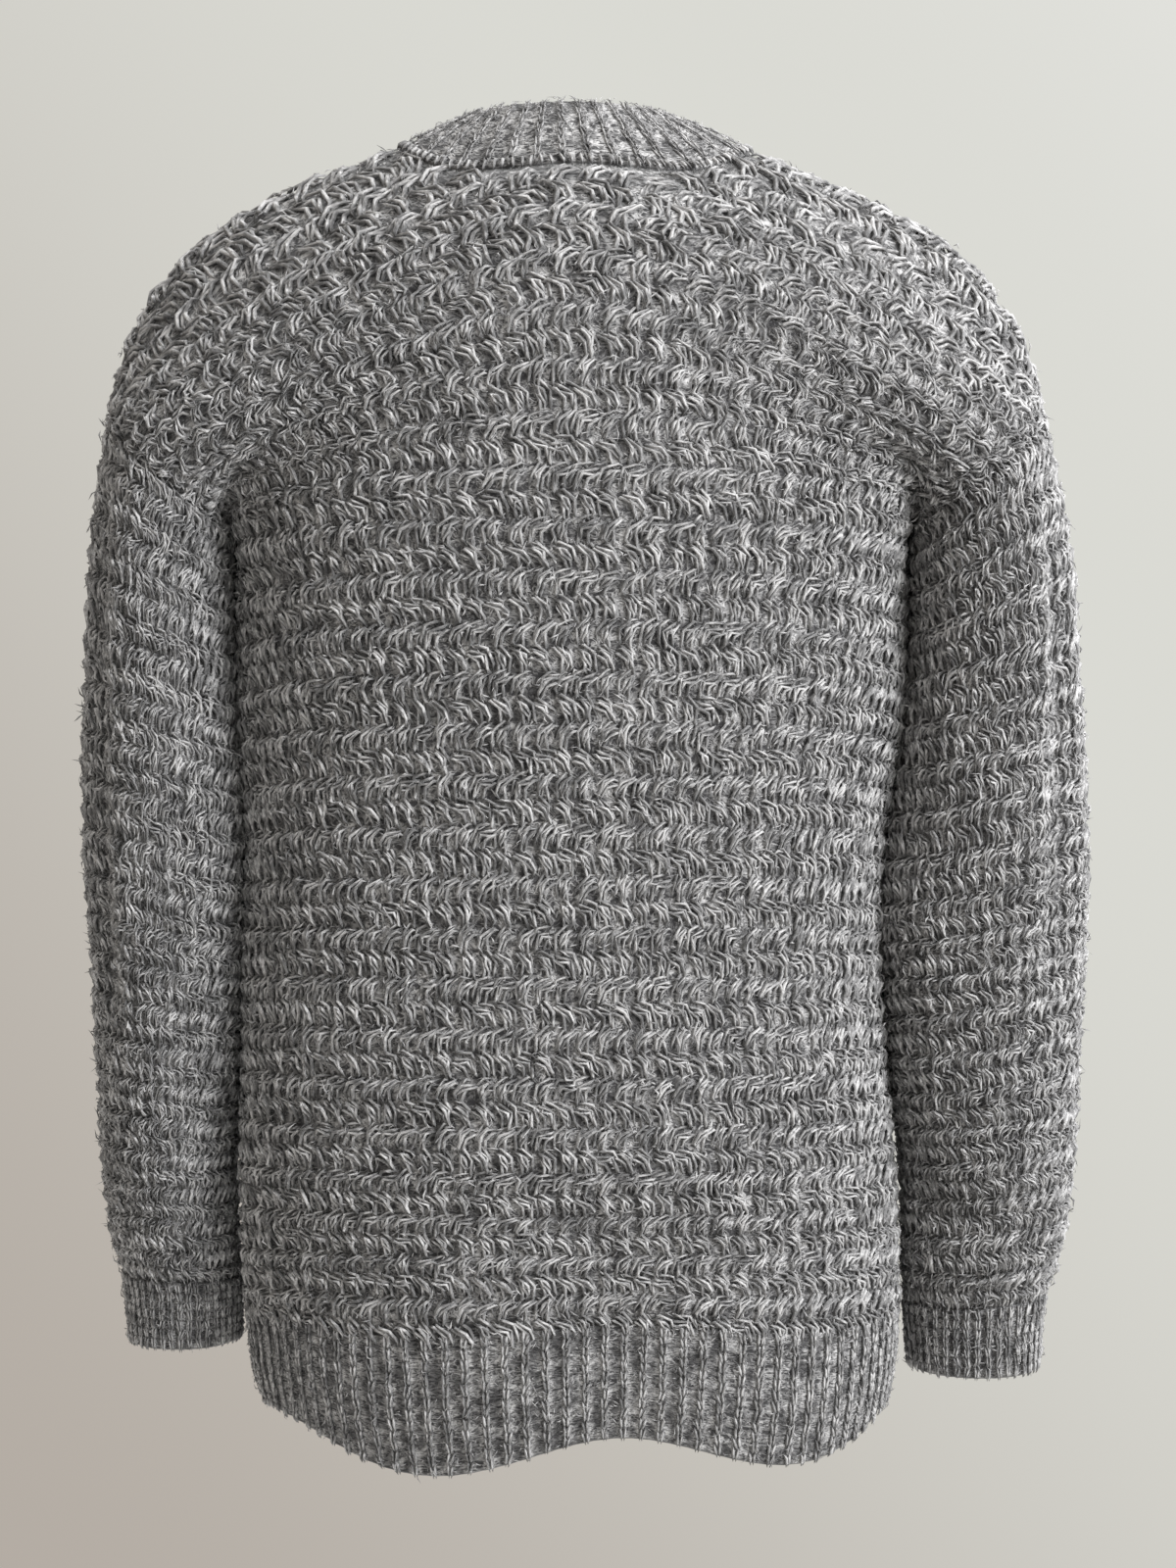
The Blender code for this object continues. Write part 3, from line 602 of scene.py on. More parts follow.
class Nodes:
    """A node tree in the making. prefix starts the names of its kinds of node."""

    def __init__(self, tree, prefix="ShaderNode"):
        self.tree = tree
        self.prefix = prefix

    def node(self, kind, settings, values, output=0):
        """Adds a node, says what it does, fills its sockets and hands over one of its results."""
        made = self.tree.nodes.new(self.prefix + kind)
        for key, value in settings.items():
            if key == "stops":
                self.fill_ramp(made.color_ramp, value)
            else:
                setattr(made, key, value)
        self.fill(made, values)
        if isinstance(output, int):
            return Term(self, made.outputs[output])
        return Term(self, next(item for item in made.outputs if item.name == output and item.enabled))

    def fill(self, made, values):
        """Fills a node's sockets with numbers or with other nodes' results."""
        for key, value in values.items():
            named = made.inputs[key] if isinstance(key, int) else None
            socket = named or next(item for item in made.inputs if item.name == key and item.enabled)
            if isinstance(value, Term):
                self.tree.links.new(value.socket, socket)
            else:
                socket.default_value = value

    def fill_ramp(self, ramp, stops):
        ramp.interpolation = "EASE"
        for place, _ in stops[1:-1]:
            ramp.elements.new(place)
        for stop, (_, colour) in zip(ramp.elements, stops):
            stop.color = (*colour, 1.0)

    def sum(self, operation, first, second):
        return self.node("Math", {"operation": operation}, {0: first, 1: second})

    def of_one(self, operation, value):
        return self.node("Math", {"operation": operation}, {0: value})

    def clamp(self, value, low, high):
        """0 where a value is at low, 1 where it is at high, and smooth between them."""
        settings = {"interpolation_type": "SMOOTHSTEP"}
        return self.node("MapRange", settings, {"Value": value, "From Min": low, "From Max": high})

    def mix(self, share, first, second):
        values = {"Factor": share, "A": (*first, 1.0), "B": (*second, 1.0)}
        return self.node("Mix", {"data_type": "RGBA"}, values, "Result")

    def noise(self, vector, scale, detail=2.0, rough=0.5, twist=0.0):
        values = {"Vector": vector, "Scale": scale, "Detail": detail, "Roughness": rough, "Distortion": twist}
        return self.node("TexNoise", {}, values, "Fac")

    def strands(self, vector, detail=1.0, twist=0.0):
        """Thin curling strands, 1 along their middles and 0 between them, about one unit apart."""
        noise = self.noise(vector, 1.0, detail, 0.5, twist)
        return self.clamp(self.of_one("ABSOLUTE", noise - 0.5), 0.09, 0.015)

    def tufts(self):
        """Light and dark tufts about a centimetre wide, through the whole piece."""
        return self.clamp(self.noise(self.object_place(), 115.0, 2.0, 0.6), 0.34, 0.66)

    def attribute(self, name):
        return self.node("Attribute", {"attribute_name": name}, {}, "Fac")

    def object_place(self):
        return self.node("TexCoord", {}, {}, "Object")

    def axes(self, place, names="XYZ"):
        return [self.node("SeparateXYZ", {}, {0: place}, axis) for axis in names]

    def map_of(self, name):
        """The two coordinates of one of the piece's own maps."""
        return self.axes(self.node("UVMap", {"uv_map": name}, {}, "UV"), "XY")

    def vector(self, x, y, z):
        return self.node("CombineXYZ", {}, {"X": x, "Y": y, "Z": z})


# ---- Meshes -------------------------------------------------------------------------------------------------


def placed(name, data):
    """A new object at the origin for a finished mesh, light or camera."""
    made = bpy.data.objects.new(name, data)
    bpy.context.scene.collection.objects.link(made)
    return made


def closed_mesh(name, vertices, faces, map_name="", places=()):
    """A mesh of a closed shape, all of its faces turned outwards. places are where its corners lie on its map."""
    data = bpy.data.meshes.new(name)
    data.from_pydata(np.asarray(vertices).tolist(), [], faces)
    if map_name:
        layer = data.uv_layers.new(name=map_name)
        layer.data.foreach_set("uv", np.array(places, dtype=np.float32).ravel())
    shape = bmesh.new()
    shape.from_mesh(data)
    bmesh.ops.recalc_face_normals(shape, faces=shape.faces)
    shape.to_mesh(data)
    shape.free()
    data.shade_smooth()
    return data


def ground_cloth(name, surface, counts, faces, finish, wrap, swell=0.0, rounded=(0.0, 0.0)):
    """A closed wall on a middle surface: its outer and inner skins, and rims that may be rounded.

    counts are the knitting's own coordinates across and along, which become the wall's map, faces are its skins'
    heights over the middle surface, and swell is how far each outer point stands out as a rib."""
    points, normals = surface
    outer = points + normals * np.atleast_3d(faces[0] + swell)
    inner = points + normals * faces[1]
    middle = (outer + inner) / 2
    number = np.arange(points[..., 0].size).reshape(points.shape[:2])
    skin = number.size
    if wrap:
        number = np.column_stack([number, number[:, 0]])
    quads, places = [], []
    across, up = counts
    for row in range(number.shape[0] - 1):
        for column in range(number.shape[1] - 1):
            corners = ((row, column), (row, column + 1), (row + 1, column + 1), (row + 1, column))
            ring = [number[corner] for corner in corners]
            on_map = [(across[right], up[above]) for above, right in corners]
            quads += [ring, [skin + corner for corner in ring[::-1]]]
            places += on_map + on_map[::-1]
    rims = []
    for edge, next_to_it, bulge in ((0, 1, rounded[0]), (-1, -2, rounded[1])):
        rims.append((number[edge], middle[edge] + unit(points[edge] - points[next_to_it]) * bulge))
    if not wrap:
        rims += [(number[:, edge], middle[:, edge]) for edge in (0, -1)]
    vertices = np.concatenate([outer.reshape(-1, 3), inner.reshape(-1, 3)])
    for line, lip in rims:
        between = len(vertices) + np.arange(len(line)) % len(lip)
        vertices = np.concatenate([vertices, lip])
        for here, ahead, low, high in zip(line, line[1:], between, between[1:]):
            quads += [(here, ahead, high, low), (low, high, skin + ahead, skin + here)]
            places += [(across[0], up[0])] * 8
    data = closed_mesh(name, vertices, quads, "knit", places)
    data.materials.append(finish)
    return placed(name, data)


def yarn(name, strands, radii, sides):
    """A pattern of yarn: a closed tube along each strand, pointed at both ends, mapped along and round itself in
    centimetres."""
    vertices, faces, maps = [], [], []
    girth = 2 * math.pi * np.max(radii) * CENTIMETRES
    for number, path in enumerate(strands):
        path = np.array(path)
        run = unit(np.gradient(path, axis=0))
        side = unit(np.cross(run, (0.0, 0.0, 1.0)))
        top = np.cross(side, run)
        length = lengths(path) * CENTIMETRES + number * STRAND_APART
        first = len(vertices)
        vertices.append(path[0])
        for place in range(1, len(path) - 1):
            for corner in range(sides):
                angle = 2 * math.pi * corner / sides
                spoke = side[place] * math.sin(angle) + top[place] * math.cos(angle)
                vertices.append(path[place] + spoke * radii[place])
        last = len(vertices)
        vertices.append(path[-1])
        rings = [first + 1 + place * sides for place in range(len(path) - 2)]
        for corner in range(sides):
            ahead = (corner + 1) % sides
            low, high = corner / sides * girth, (corner + 1) / sides * girth
            faces.append((first, rings[0] + ahead, rings[0] + corner))
            maps += [(length[0], (low + high) / 2), (length[1], high), (length[1], low)]
            for place, (ring, up) in enumerate(zip(rings, rings[1:]), 1):
                faces.append((ring + corner, ring + ahead, up + ahead, up + corner))
                maps += [(length[place], low), (length[place], high)]
                maps += [(length[place + 1], high), (length[place + 1], low)]
            faces.append((rings[-1] + corner, rings[-1] + ahead, last))
            maps += [(length[-2], low), (length[-2], high), (length[-1], (low + high) / 2)]
    data = closed_mesh(name, vertices, faces, "yarn", maps)
    # How far out of the cloth each point stands, from 0 at the lowest to 1 at the highest: the yarn's finish
    # darkens the low points with it as painted shade, where the yarn sinks into the cloth.
    heights = np.array(vertices)[:, 2]
    rise = data.attributes.new("rise", "FLOAT", "POINT")
    rise.data.foreach_set("value", ((heights - heights.min()) / np.ptp(heights)).astype(np.float32))
    return bpy.data.objects.new(name, data)


def straight_fibre(name, length, width):
    """A pattern of one short fibre along X: a flat blade, pointed at both ends."""
    rise = width * 0.4
    vertices = [(0, 0, 0), (length, 0, 0), (length * 0.4, width / 2, rise), (length * 0.6, -width / 2, rise)]
    faces = [(0, 1, 2), (0, 3, 1), (0, 2, 3), (1, 3, 2)]
    return bpy.data.objects.new(name, closed_mesh(name, vertices, faces))


def bent_fibre(name, length, width, bow):
    """A pattern of one bent fibre along X: pointed at both ends, widest and bowed out at its middle."""
    middle = [
        (length / 2, width / 2 * math.cos(angle), bow + width / 2 * math.sin(angle))
        for angle in (math.pi / 2, math.pi * 7 / 6, math.pi * 11 / 6)
    ]
    faces = [(0, 1 + (corner + 1) % 3, 1 + corner) for corner in range(3)]
    faces += [(4, 1 + corner, 1 + (corner + 1) % 3) for corner in range(3)]
    return bpy.data.objects.new(name, closed_mesh(name, [(0, 0, 0), *middle, (length, 0, 0)], faces))


def pattern_tree():
    """Geometry Nodes: sets on each point the pattern of its kind."""
    name = "Set patterns on points"
    if name in bpy.data.node_groups:
        return bpy.data.node_groups[name]
    tree = bpy.data.node_groups.new(name, "GeometryNodeTree")
    made = Nodes(tree, "")
    patterns = [f"Pattern {number}" for number in range(PATTERN_KINDS)]
    sockets = {"Points": "Geometry", **dict.fromkeys(patterns, "Object"), "Size": "Float", "Material": "Material"}
    for socket, kind in sockets.items():
        tree.interface.new_socket(socket, in_out="INPUT", socket_type="NodeSocket" + kind)
    tree.interface.new_socket("Mesh", in_out="OUTPUT", socket_type="NodeSocketGeometry")
    inputs, output = (tree.nodes.new("NodeGroup" + way) for way in ("Input", "Output"))
    given = {socket: Term(made, inputs.outputs[socket]) for socket in sockets}

    def attribute(name, kind="FLOAT_VECTOR"):
        return made.node("GeometryNodeInputNamedAttribute", {"data_type": kind}, {"Name": name}, "Attribute")

    axes = {"Primary Axis": attribute("right"), "Secondary Axis": attribute("up")}
    turn = made.node("FunctionNodeAxesToRotation", {"primary_axis": "X", "secondary_axis": "Y"}, axes)
    sizes = {0: attribute("size"), "Scale": given["Size"]}
    size = made.node("ShaderNodeVectorMath", {"operation": "SCALE"}, sizes)
    setting = {"Points": given["Points"], "Rotation": turn, "Scale": size}
    kind = attribute("kind", "INT")
    join = tree.nodes.new("GeometryNodeJoinGeometry")
    for number, pattern in enumerate(patterns):
        of_kind = made.node("FunctionNodeCompare", {"data_type": "INT", "operation": "EQUAL"}, {2: kind, 3: number})
        shape = made.node("GeometryNodeObjectInfo", {}, {"Object": given[pattern]}, "Geometry")
        values = {**setting, "Selection": of_kind, "Instance": shape}
        made.fill(join, {"Geometry": made.node("GeometryNodeInstanceOnPoints", {}, values)})
    realized = made.node("GeometryNodeRealizeInstances", {}, {"Geometry": Term(made, join.outputs["Geometry"])})
    values = {"Geometry": realized, "Material": given["Material"]}
    made.fill(output, {"Mesh": made.node("GeometryNodeSetMaterial", {}, values)})
    return tree


def set_patterns(name, places, size, kinds, patterns, finish):
    """One mesh of a pattern set on every place: its points go through Geometry Nodes and become a plain mesh."""
    points = bpy.data.meshes.new(name + "_points")
    points.from_pydata(places.at.tolist(), [], [])
    for label, kind, values in (
        ("right", "FLOAT_VECTOR", places.right),
        ("up", "FLOAT_VECTOR", places.up),
        ("size", "FLOAT_VECTOR", size),
        ("kind", "INT", kinds),
        ("shade", "FLOAT", draws(name + "_shade").random(len(places.at))),
    ):
        attribute = points.attributes.new(label, kind, "POINT")
        key = "vector" if kind == "FLOAT_VECTOR" else "value"
        number = np.int32 if kind == "INT" else np.float32
        attribute.data.foreach_set(key, np.asarray(values, dtype=number).ravel())
    carrier = placed(name + "_points", points)
    modifier = carrier.modifiers.new("Patterns", "NODES")
    modifier.node_group = pattern_tree()
    values = {f"Pattern {number}": pattern for number, pattern in enumerate(patterns)}
    values.update({"Size": 1.0, "Material": finish})
    for socket in modifier.node_group.interface.items_tree:
        if socket.in_out == "INPUT" and socket.name in values:
            modifier[socket.identifier] = values[socket.name]
    depsgraph = bpy.context.evaluated_depsgraph_get()
    evaluated = carrier.evaluated_get(depsgraph)
    data = bpy.data.meshes.new_from_object(evaluated, preserve_all_data_layers=True, depsgraph=depsgraph)
    data.name = name
    for label in ("right", "up", "size", "kind"):
        data.attributes.remove(data.attributes[label])
    bpy.data.objects.remove(carrier)
    bpy.data.meshes.remove(points)
    for pattern in patterns:
        bpy.data.objects.remove(pattern)
    return placed(name, data)


def draws(name):
    """Random draws of a piece's own, the same on each run."""
    return np.random.default_rng(sum(ord(letter) * (place + 1) for place, letter in enumerate(name)))


def spread_wales(face, bands):
    """A panel's surface with one station for each stitch, and each station's share across the panel."""
    wale = -1 + (2 * np.arange(PANEL_WALES) + 1) / PANEL_WALES
    spread = np.interp(bands, *zip(*WALE_SPREAD))[:, None]
    give = np.minimum(spread - 1, EDGE_GIVE)
    share = (wale * (1 + give) - give * wale**3) * spread / (1 + give)
    away, room = np.abs(share), np.gradient(share, axis=1)
    just_past = (away > OUTER_WALE) & (away < OUTER_WALE + 0.5 * room)
    share = np.where(just_past, OUTER_WALE * np.sign(share), share)
    fine = np.linspace(-1, 1, 8 * PANEL_WALES + 1)
    points, normals = (
        np.array([read(at, fine, row) for at, row in zip(share, values)])
        for values in panel(face, fine, bands[:, None] + np.zeros_like(fine))
    )
    return (points, unit(normals)), share


def places_on(surface, upward, wrap, left):
    """The places of a grid with one station for each stitch: right is seen from outside, and up along its wale."""
    points, normals = surface
    rising = upward * np.gradient(points, axis=0)
    room = np.stack([np.linalg.norm(step, axis=-1) for step in (beside(points, wrap), rising)], axis=-1)
    right = unit(np.cross(rising, normals))
    left = np.broadcast_to(left[:, None], points.shape[:2])
    found = (points, right, np.cross(normals, right), normals, room, left)
    return Places(*(values.reshape((-1,) + values.shape[2:]) for values in found))


def chosen(places, keep):
    """The places that are kept."""
    return Places(*(values[keep] for values in places))


def loosened(places, name, swing, shift):
    """The same places, each a little turned and moved, as hand and wear leave them."""
    draw = draws(name + "_loose")
    count = len(places.at)
    angle = draw.normal(0.0, swing, (count, 1))
    tilt = draw.normal(0.0, swing, (count, 1))
    right = unit(places.right * np.cos(angle) + places.up * np.sin(angle) + places.out * tilt)
    up = unit(np.cross(places.out, right))
    at = places.at + draw.normal(0.0, shift, (count, 3))
    room = places.room * draw.normal(1.0, ROOM_STRAY, (count, 2))
    return Places(at, right, up, np.cross(right, up), room, places.left)


def loose_fibres(name, places, path, strands, radii, each, knit, finish, reach=1.0):
    """A haze of loose fibres: each starts on one of a stitch's strands, or lies across the ground between them."""
    draw = draws(name)
    owner = np.repeat(np.arange(len(places.at)), each)
    count = len(owner)
    path = np.array(path)
    share = np.linspace(0, 1, len(path))
    at = draw.uniform(*FIBRE_FROM, count)
    room = np.column_stack([places.room[owner], np.ones(count)])
    mirror = np.where(places.left[owner], -1.0, 1.0)[:, None] * (1, 0, 0) + (0, 1, 1)
    local = (read(at, share, path) + np.array(strands)[draw.integers(0, len(strands), count)]) * room * mirror
    run = unit(read(at, share, np.gradient(path, axis=0)) * room * mirror)
    spoke = draw.normal(0.0, 1.0, (count, 3))
    spoke -= np.sum(spoke * run, axis=1, keepdims=True) * run
    spoke[:, 2] = np.abs(spoke[:, 2]) + FIBRE_LEAN
    spoke = unit(spoke)
    standing = draw.random(count)[:, None] ** 3
    onward = draw.choice([-1.0, 1.0], (count, 1), p=[1 - FIBRE_FORWARD, FIBRE_FORWARD])
    way = run * onward + spoke * np.interp(standing, (0, 1), FIBRE_STAND)
    way = unit(way + draw.normal(0.0, FIBRE_SCATTER, (count, 3)))
    start = local + spoke * np.interp(at, share, radii)[:, None] - way * knit.fibre_length * FIBRE_BEHIND

    flat = draw.random(count)[:, None] < knit.ground_share
    cell = draw.uniform(*FLAT_FIBRE_ROOM, (count, 3)) * room
    across = unit(draw.normal(0.0, 1.0, (count, 3)) * FLAT_FIBRE_WAY)
    start = np.where(flat, cell - across * knit.fibre_length / 2, start)
    way = np.where(flat, across, way)
    standing = np.where(flat, 0.0, standing)

    axes = np.stack([places.right[owner], places.up[owner], places.out[owner]], axis=1)
    start, way = (np.einsum("ni,nij->nj", one, axes) for one in (start, way))
    bow = places.out[owner] + draw.normal(0.0, 1.0, (count, 3))
    up = unit(np.cross(bow, way))
    length = draw.gamma(FIBRE_LENGTH_SHAPE, 1 / FIBRE_LENGTH_SHAPE, (count, 1)).clip(*FIBRE_LENGTHS)
    length *= (1 - STANDING_SHORTER * standing) * reach
    width = draw.uniform(*FIBRE_WIDTHS, (count, 1)) * (1 - STANDING_THINNER * standing) * reach
    height = width * draw.uniform(*FIBRE_HEIGHTS, (count, 1))
    haze = Places(places.at[owner] + start, way, up, *(values[owner] for values in places[3:]))
    long, thick = knit.fibre_length, knit.fibre_width
    patterns = [
        straight_fibre("straight_fibre", long, thick),
        bent_fibre("bent_fibre", long * BENT_LONGER, thick, long * BENT_BOW),
    ]
    size = np.hstack([length, width, height])
    return set_patterns(name, haze, size, draw.random(count) < knit.bent_share, patterns, finish)


# ---- Finishes -----------------------------------------------------------------------------------------------


class Finish(Nodes):
    """A material in the making."""

    def __init__(self, name, roughness, sheen=0.0):
        self.material = bpy.data.materials.new(name)
        self.material.use_nodes = True
        super().__init__(self.material.node_tree)
        self.shader = self.tree.nodes["Principled BSDF"]
        values = {"Roughness": roughness, "Sheen Weight": sheen, "Sheen Roughness": 0.5, "Specular IOR Level": 0.2}
        self.fill(self.shader, values)

    def wear(self, colour, height=None, strength=0.5, distance=0.001):
        """Gives the shader its colour and its relief, and hands over the material."""
        self.fill(self.shader, {"Base Color": colour})
        if height is not None:
            values = {"Height": height, "Strength": strength, "Distance": distance}
            self.fill(self.shader, {"Normal": self.node("Bump", {}, values, "Normal")})
        return self.material


def yarn_finish(name, colours, light):
    """Brushed heather yarn: dark and light fibres twisted along it, and painted shade darkening it at its roots,
    where it sinks into the cloth.
    """
    made = Finish(name, roughness=0.9, sheen=0.35)
    run, girth = made.map_of("yarn")
    own = made.attribute("shade")
    rise = made.attribute("rise")
    twisted = girth + run * 0.35
    lying = made.strands(made.vector(run * 1.2, twisted * 2.8, own * 41.0), 1.0, 0.4)
    crossing = made.strands(made.vector(run * 2.4, girth * 3.0 - run * 2.0, own * 23.0 + 5.0), 1.0, 0.4)
    fleece = made.noise(made.vector(run * 2.2, girth * 3.0, own * 11.0), 1.0, 3.0, 0.7)
    strand = made.clamp(made.noise(made.vector(run * 0.3, own * 17.0, 0.0), 1.0, 1.0), 0.3, 0.7)
    hair = lying * 0.5 + crossing * 0.4
    tone = 0.24 + hair * made.clamp(fleece, 0.30, 0.62) * 0.34 + made.clamp(fleece, 0.40, 0.66) * 0.3
    # Painted shade: the tone falls with the rise, where the yarn sinks into the cloth between stitches.
    tone = tone * made.clamp(rise, -0.10, 0.95) * (0.45 + made.tufts() * 1.04) * (0.84 + strand * 0.32) * light
    return made.wear(made.mix(tone, colours.dark_fibre, colours.light_fibre), hair + fleece * 1.5, 0.4)


def haze_finish(name, colours, light):
    """Loose fibres, some dark and most light."""
    made = Finish(name, roughness=0.85, sheen=0.2)
    own = made.attribute("shade")
    patch = made.noise(made.object_place(), 42.0, 3.0, 0.6)
    tone = made.clamp(own, 0.0, 1.0) * (0.5 + patch) * light
    return made.wear(made.mix(tone, colours.middle_fibre, colours.bright_fibre))


def ground_finish(name, colours, light, ribs=0.0):
    """Ground cloth between the stitches: dark, as painted shade in the pits between them, with short fibres across
    it, and along its ribs a painted highlight on the crests and painted shade in the troughs.
    """
    made = Finish(name, roughness=0.95, sheen=0.25)
    wale, band = made.map_of("knit")
    hair = made.strands(made.vector(wale * 1.5, band * (2.8 + ribs * 3.6), 0.0), 2.0, 1.2)
    fleece = made.noise(made.vector(wale * 2.4, band * 3.0, 3.0), 1.0, 3.0, 0.7, 0.8)
    ridge = made.of_one("SINE", band * (4 * math.pi))
    lit_crest = made.of_one("COSINE", wale * (2 * math.pi)) * -0.5 + 0.5
    # Painted shade: a low base tone, so that the ground reads as the shade in the pits between stitches.
    tone = (0.02 + hair * 0.30 + made.clamp(fleece, 0.44, 0.62) * 0.22) * (0.35 + made.tufts() * 1.2)
    # Painted highlight on the ribs' crests and painted shade in their troughs.
    tone = tone * (1.0 - ribs * 0.35 + lit_crest * (ribs * 0.7)) * light
    relief = hair * 1.5 + fleece + ridge * 0.25
    return made.wear(made.mix(tone, colours.dark_fibre, colours.light_fibre), relief, 0.6, 0.0012)


# ---- The pieces ---------------------------------------------------------------------------------------------


def finishes(context):
    """The finishes of the knit, made once."""
    colours = context.scene.sweater_colours
    made = {}
    for name, make, light in (
        ("brushed_yarn", yarn_finish, (1.55,)),
        ("rib_yarn", yarn_finish, (1.60,)),
        ("haze", haze_finish, (0.8,)),
        ("ground_cloth", ground_finish, (1.4,)),
        ("rib_ground", ground_finish, (1.7, 1.0)),
        ("neck_ground", ground_finish, (2.2, 0.3)),
    ):
        made[name] = bpy.data.materials.get(name) or make(name, colours, *light)
    return made


def declare(ground, node, on_it):
    """Attaches a piece and what lies on it to the body, and hides the part of model.glb that it stands for."""
    for piece in (ground, *on_it):
        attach(piece, BODY)
    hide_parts(node)
    area = sum(face.area for face in ground.data.polygons) / 2


def stitch_patterns(radii):
    """The kinds of leaning stitch in their nominal room, each followed by its mirror image."""
    draw = draws("stitch")
    patterns = []
    for kind in range(STITCH_KINDS):
        paths = [np.array(STITCH_PATH) + strand for strand in STITCH_STRANDS]
        paths = [(path + draw.normal(0.0, STITCH_STRAY, path.shape)) * (*STITCH_ROOM, 1.0) for path in paths]
        for name, mirror in (("right", 1), ("left", -1)):
            lines = [path * (mirror, 1, 1) for path in paths]
            patterns.append(yarn(f"stitch_{kind}_{name}", lines, radii, STITCH_SIDES))
    return patterns


def make_knitting(context, name, surface, counts, places, wrap):
    """A panel or sleeve: its ground cloth, the leaning stitches on its places and their haze."""
    knit, finish = context.scene.sweater_knit, finishes(context)
    ground = ground_cloth(name + "_ground", surface, counts, GROUND_FACES, finish["ground_cloth"], wrap)
    places = loosened(places, name, knit.looseness, STITCH_SHIFT)
    roots = places._replace(at=places.at - places.up * places.room[:, 1:] / 2)
    size = np.column_stack([places.room / STITCH_ROOM, np.ones(len(places.at))])
    radii = np.array(STITCH_GIRTH) * knit.yarn_radius
    stitched = name + "_stitches"
    kinds = 2 * draws(stitched).integers(0, STITCH_KINDS, len(places.at)) + places.left
    stitches = set_patterns(stitched, roots, size, kinds, stitch_patterns(radii), finish["brushed_yarn"])
    strands = (STITCH_PATH, STITCH_STRANDS, radii)
    haze = loose_fibres(name + "_haze", roots, *strands, knit.fibres_each, knit, finish["haze"])
    declare(ground, name, [stitches, haze])


def make_panel(context, face):
    share = np.linspace(-1, 1, PANEL_STATIONS[0] + 1)
    rising = np.linspace(0, BODY_BANDS, PANEL_STATIONS[1] + 1)[:, None]
    over = np.maximum(rising - SCOOP_FROM_BAND, 0) / (BODY_BANDS - SCOOP_FROM_BAND)
    surface = panel(face, share, rising - over * (BODY_BANDS - neckline_band(face, share)))
    counts = ((share + 1) * PANEL_WALES / 2, rising[:, 0])
    bands = np.arange(BODY_BANDS + (1 if face == "back" else 0), dtype=float)
    grid, wale_share = spread_wales(face, bands)
    away = np.abs(wale_share)
    below_neck = (bands[:, None] < neckline_band(face, wale_share) - NECK_CLEARANCE) | (away > NECK_SHARE)
    places = chosen(places_on(grid, 1.0, False, bands % 2 == 0), (below_neck & (away <= OUTER_WALE)).ravel())
    make_knitting(context, face + "_panel", surface, counts, places, False)


def make_sleeve(context, side):
    turn = np.arange(SLEEVE_STATIONS[0]) * 2 / SLEEVE_STATIONS[0]
    band = np.linspace(0, SLEEVE_BANDS, SLEEVE_STATIONS[1] + 1)
    counts = (np.linspace(0, SLEEVE_WALES, SLEEVE_STATIONS[0] + 1), band)
    wale_turn = (np.arange(SLEEVE_WALES) + 0.5) * 2 / SLEEVE_WALES
    bands = (np.arange(SLEEVE_ROWS) + 0.5) * SLEEVE_BANDS / SLEEVE_ROWS
    places = places_on(sleeve(side, wale_turn, bands), -1.0, True, np.arange(SLEEVE_ROWS) % 2 == 0)
    make_knitting(context, "sleeve_" + side, sleeve(side, turn, band), counts, places, True)


def make_trim(context, name, surface_at, trim, on_it=()):
    """A ribbed trim. surface_at takes shares across, from 0 to 1, and stations along, and gives its surface."""
    knit, finish = context.scene.sweater_knit, finishes(context)
    ribs, rows, wrap = trim["ribs"], trim["rows"], trim["wrap"]
    stations = STATIONS_PER_RIB * ribs
    across = np.arange(stations) / stations if wrap else np.linspace(0, 1, stations + 1)
    up = np.linspace(*trim["span"], rows + 1)
    swell = trim["swell"] * (0.5 - 0.5 * np.cos(2 * math.pi * across * ribs))
    counts = (np.linspace(0, ribs, stations + 1), np.linspace(0, rows / 2, rows + 1))
    sheet = (surface_at(across, up), counts, RIB_GROUND_FACES, finish[trim["ground"]])
    ground = ground_cloth(name + "_ground", *sheet, wrap, swell, trim["rounded"])
    points, normals = surface_at((np.arange(ribs) + 0.5) / ribs, up[:-1] + np.diff(up) / 2)
    points = points + normals * (RIB_GROUND_FACES[0] + trim["swell"])
    places = places_on((points, normals), trim["upward"], wrap, np.zeros(rows, dtype=bool))
    places = loosened(places, name, knit.looseness, RIB_SHIFT)
    radii = np.array(LEG_GIRTH) * knit.rib_yarn_radius * trim["thick"]
    leg = np.array(LEG_PATH)
    stitch = yarn("rib_stitch", [leg, leg * (-1, 1, 1)], radii, LEG_SIDES)
    wide = np.clip(places.room[:, :1] / STITCH_ROOM[0], *RIB_STITCH_WIDE)
    size = np.column_stack([wide, places.room[:, 1:] / RIB_STITCH_HEIGHT, np.ones(len(places.at))])
    kinds = np.zeros(len(places.at))
    stitches = set_patterns(name + "_stitches", places, size, kinds, [stitch], finish["rib_yarn"])
    room = (STITCH_ROOM[0], RIB_STITCH_HEIGHT)
    nominal = places._replace(room=np.ones_like(places.room) * room)
    strand = (leg / (*room, 1.0), [(0, 0, 0)], radii)
    haze = loose_fibres(name + "_haze", nominal, *strand, trim["fibres"], knit, finish["haze"], knit.rib_fibres)
    declare(ground, name, [stitches, haze, *on_it])


def make_hem_rib(context, face):
    def surface_at(across, band):
        share = across * 2 - 1
        return panel(face, share, band[:, None] + np.zeros_like(share))

    make_trim(context, "hem_rib_" + face, surface_at, HEM)


def make_cuff(context, side):
    def surface_at(across, band):
        return sleeve(side, across * 2, band)

    make_trim(context, "cuff_" + side, surface_at, CUFF)


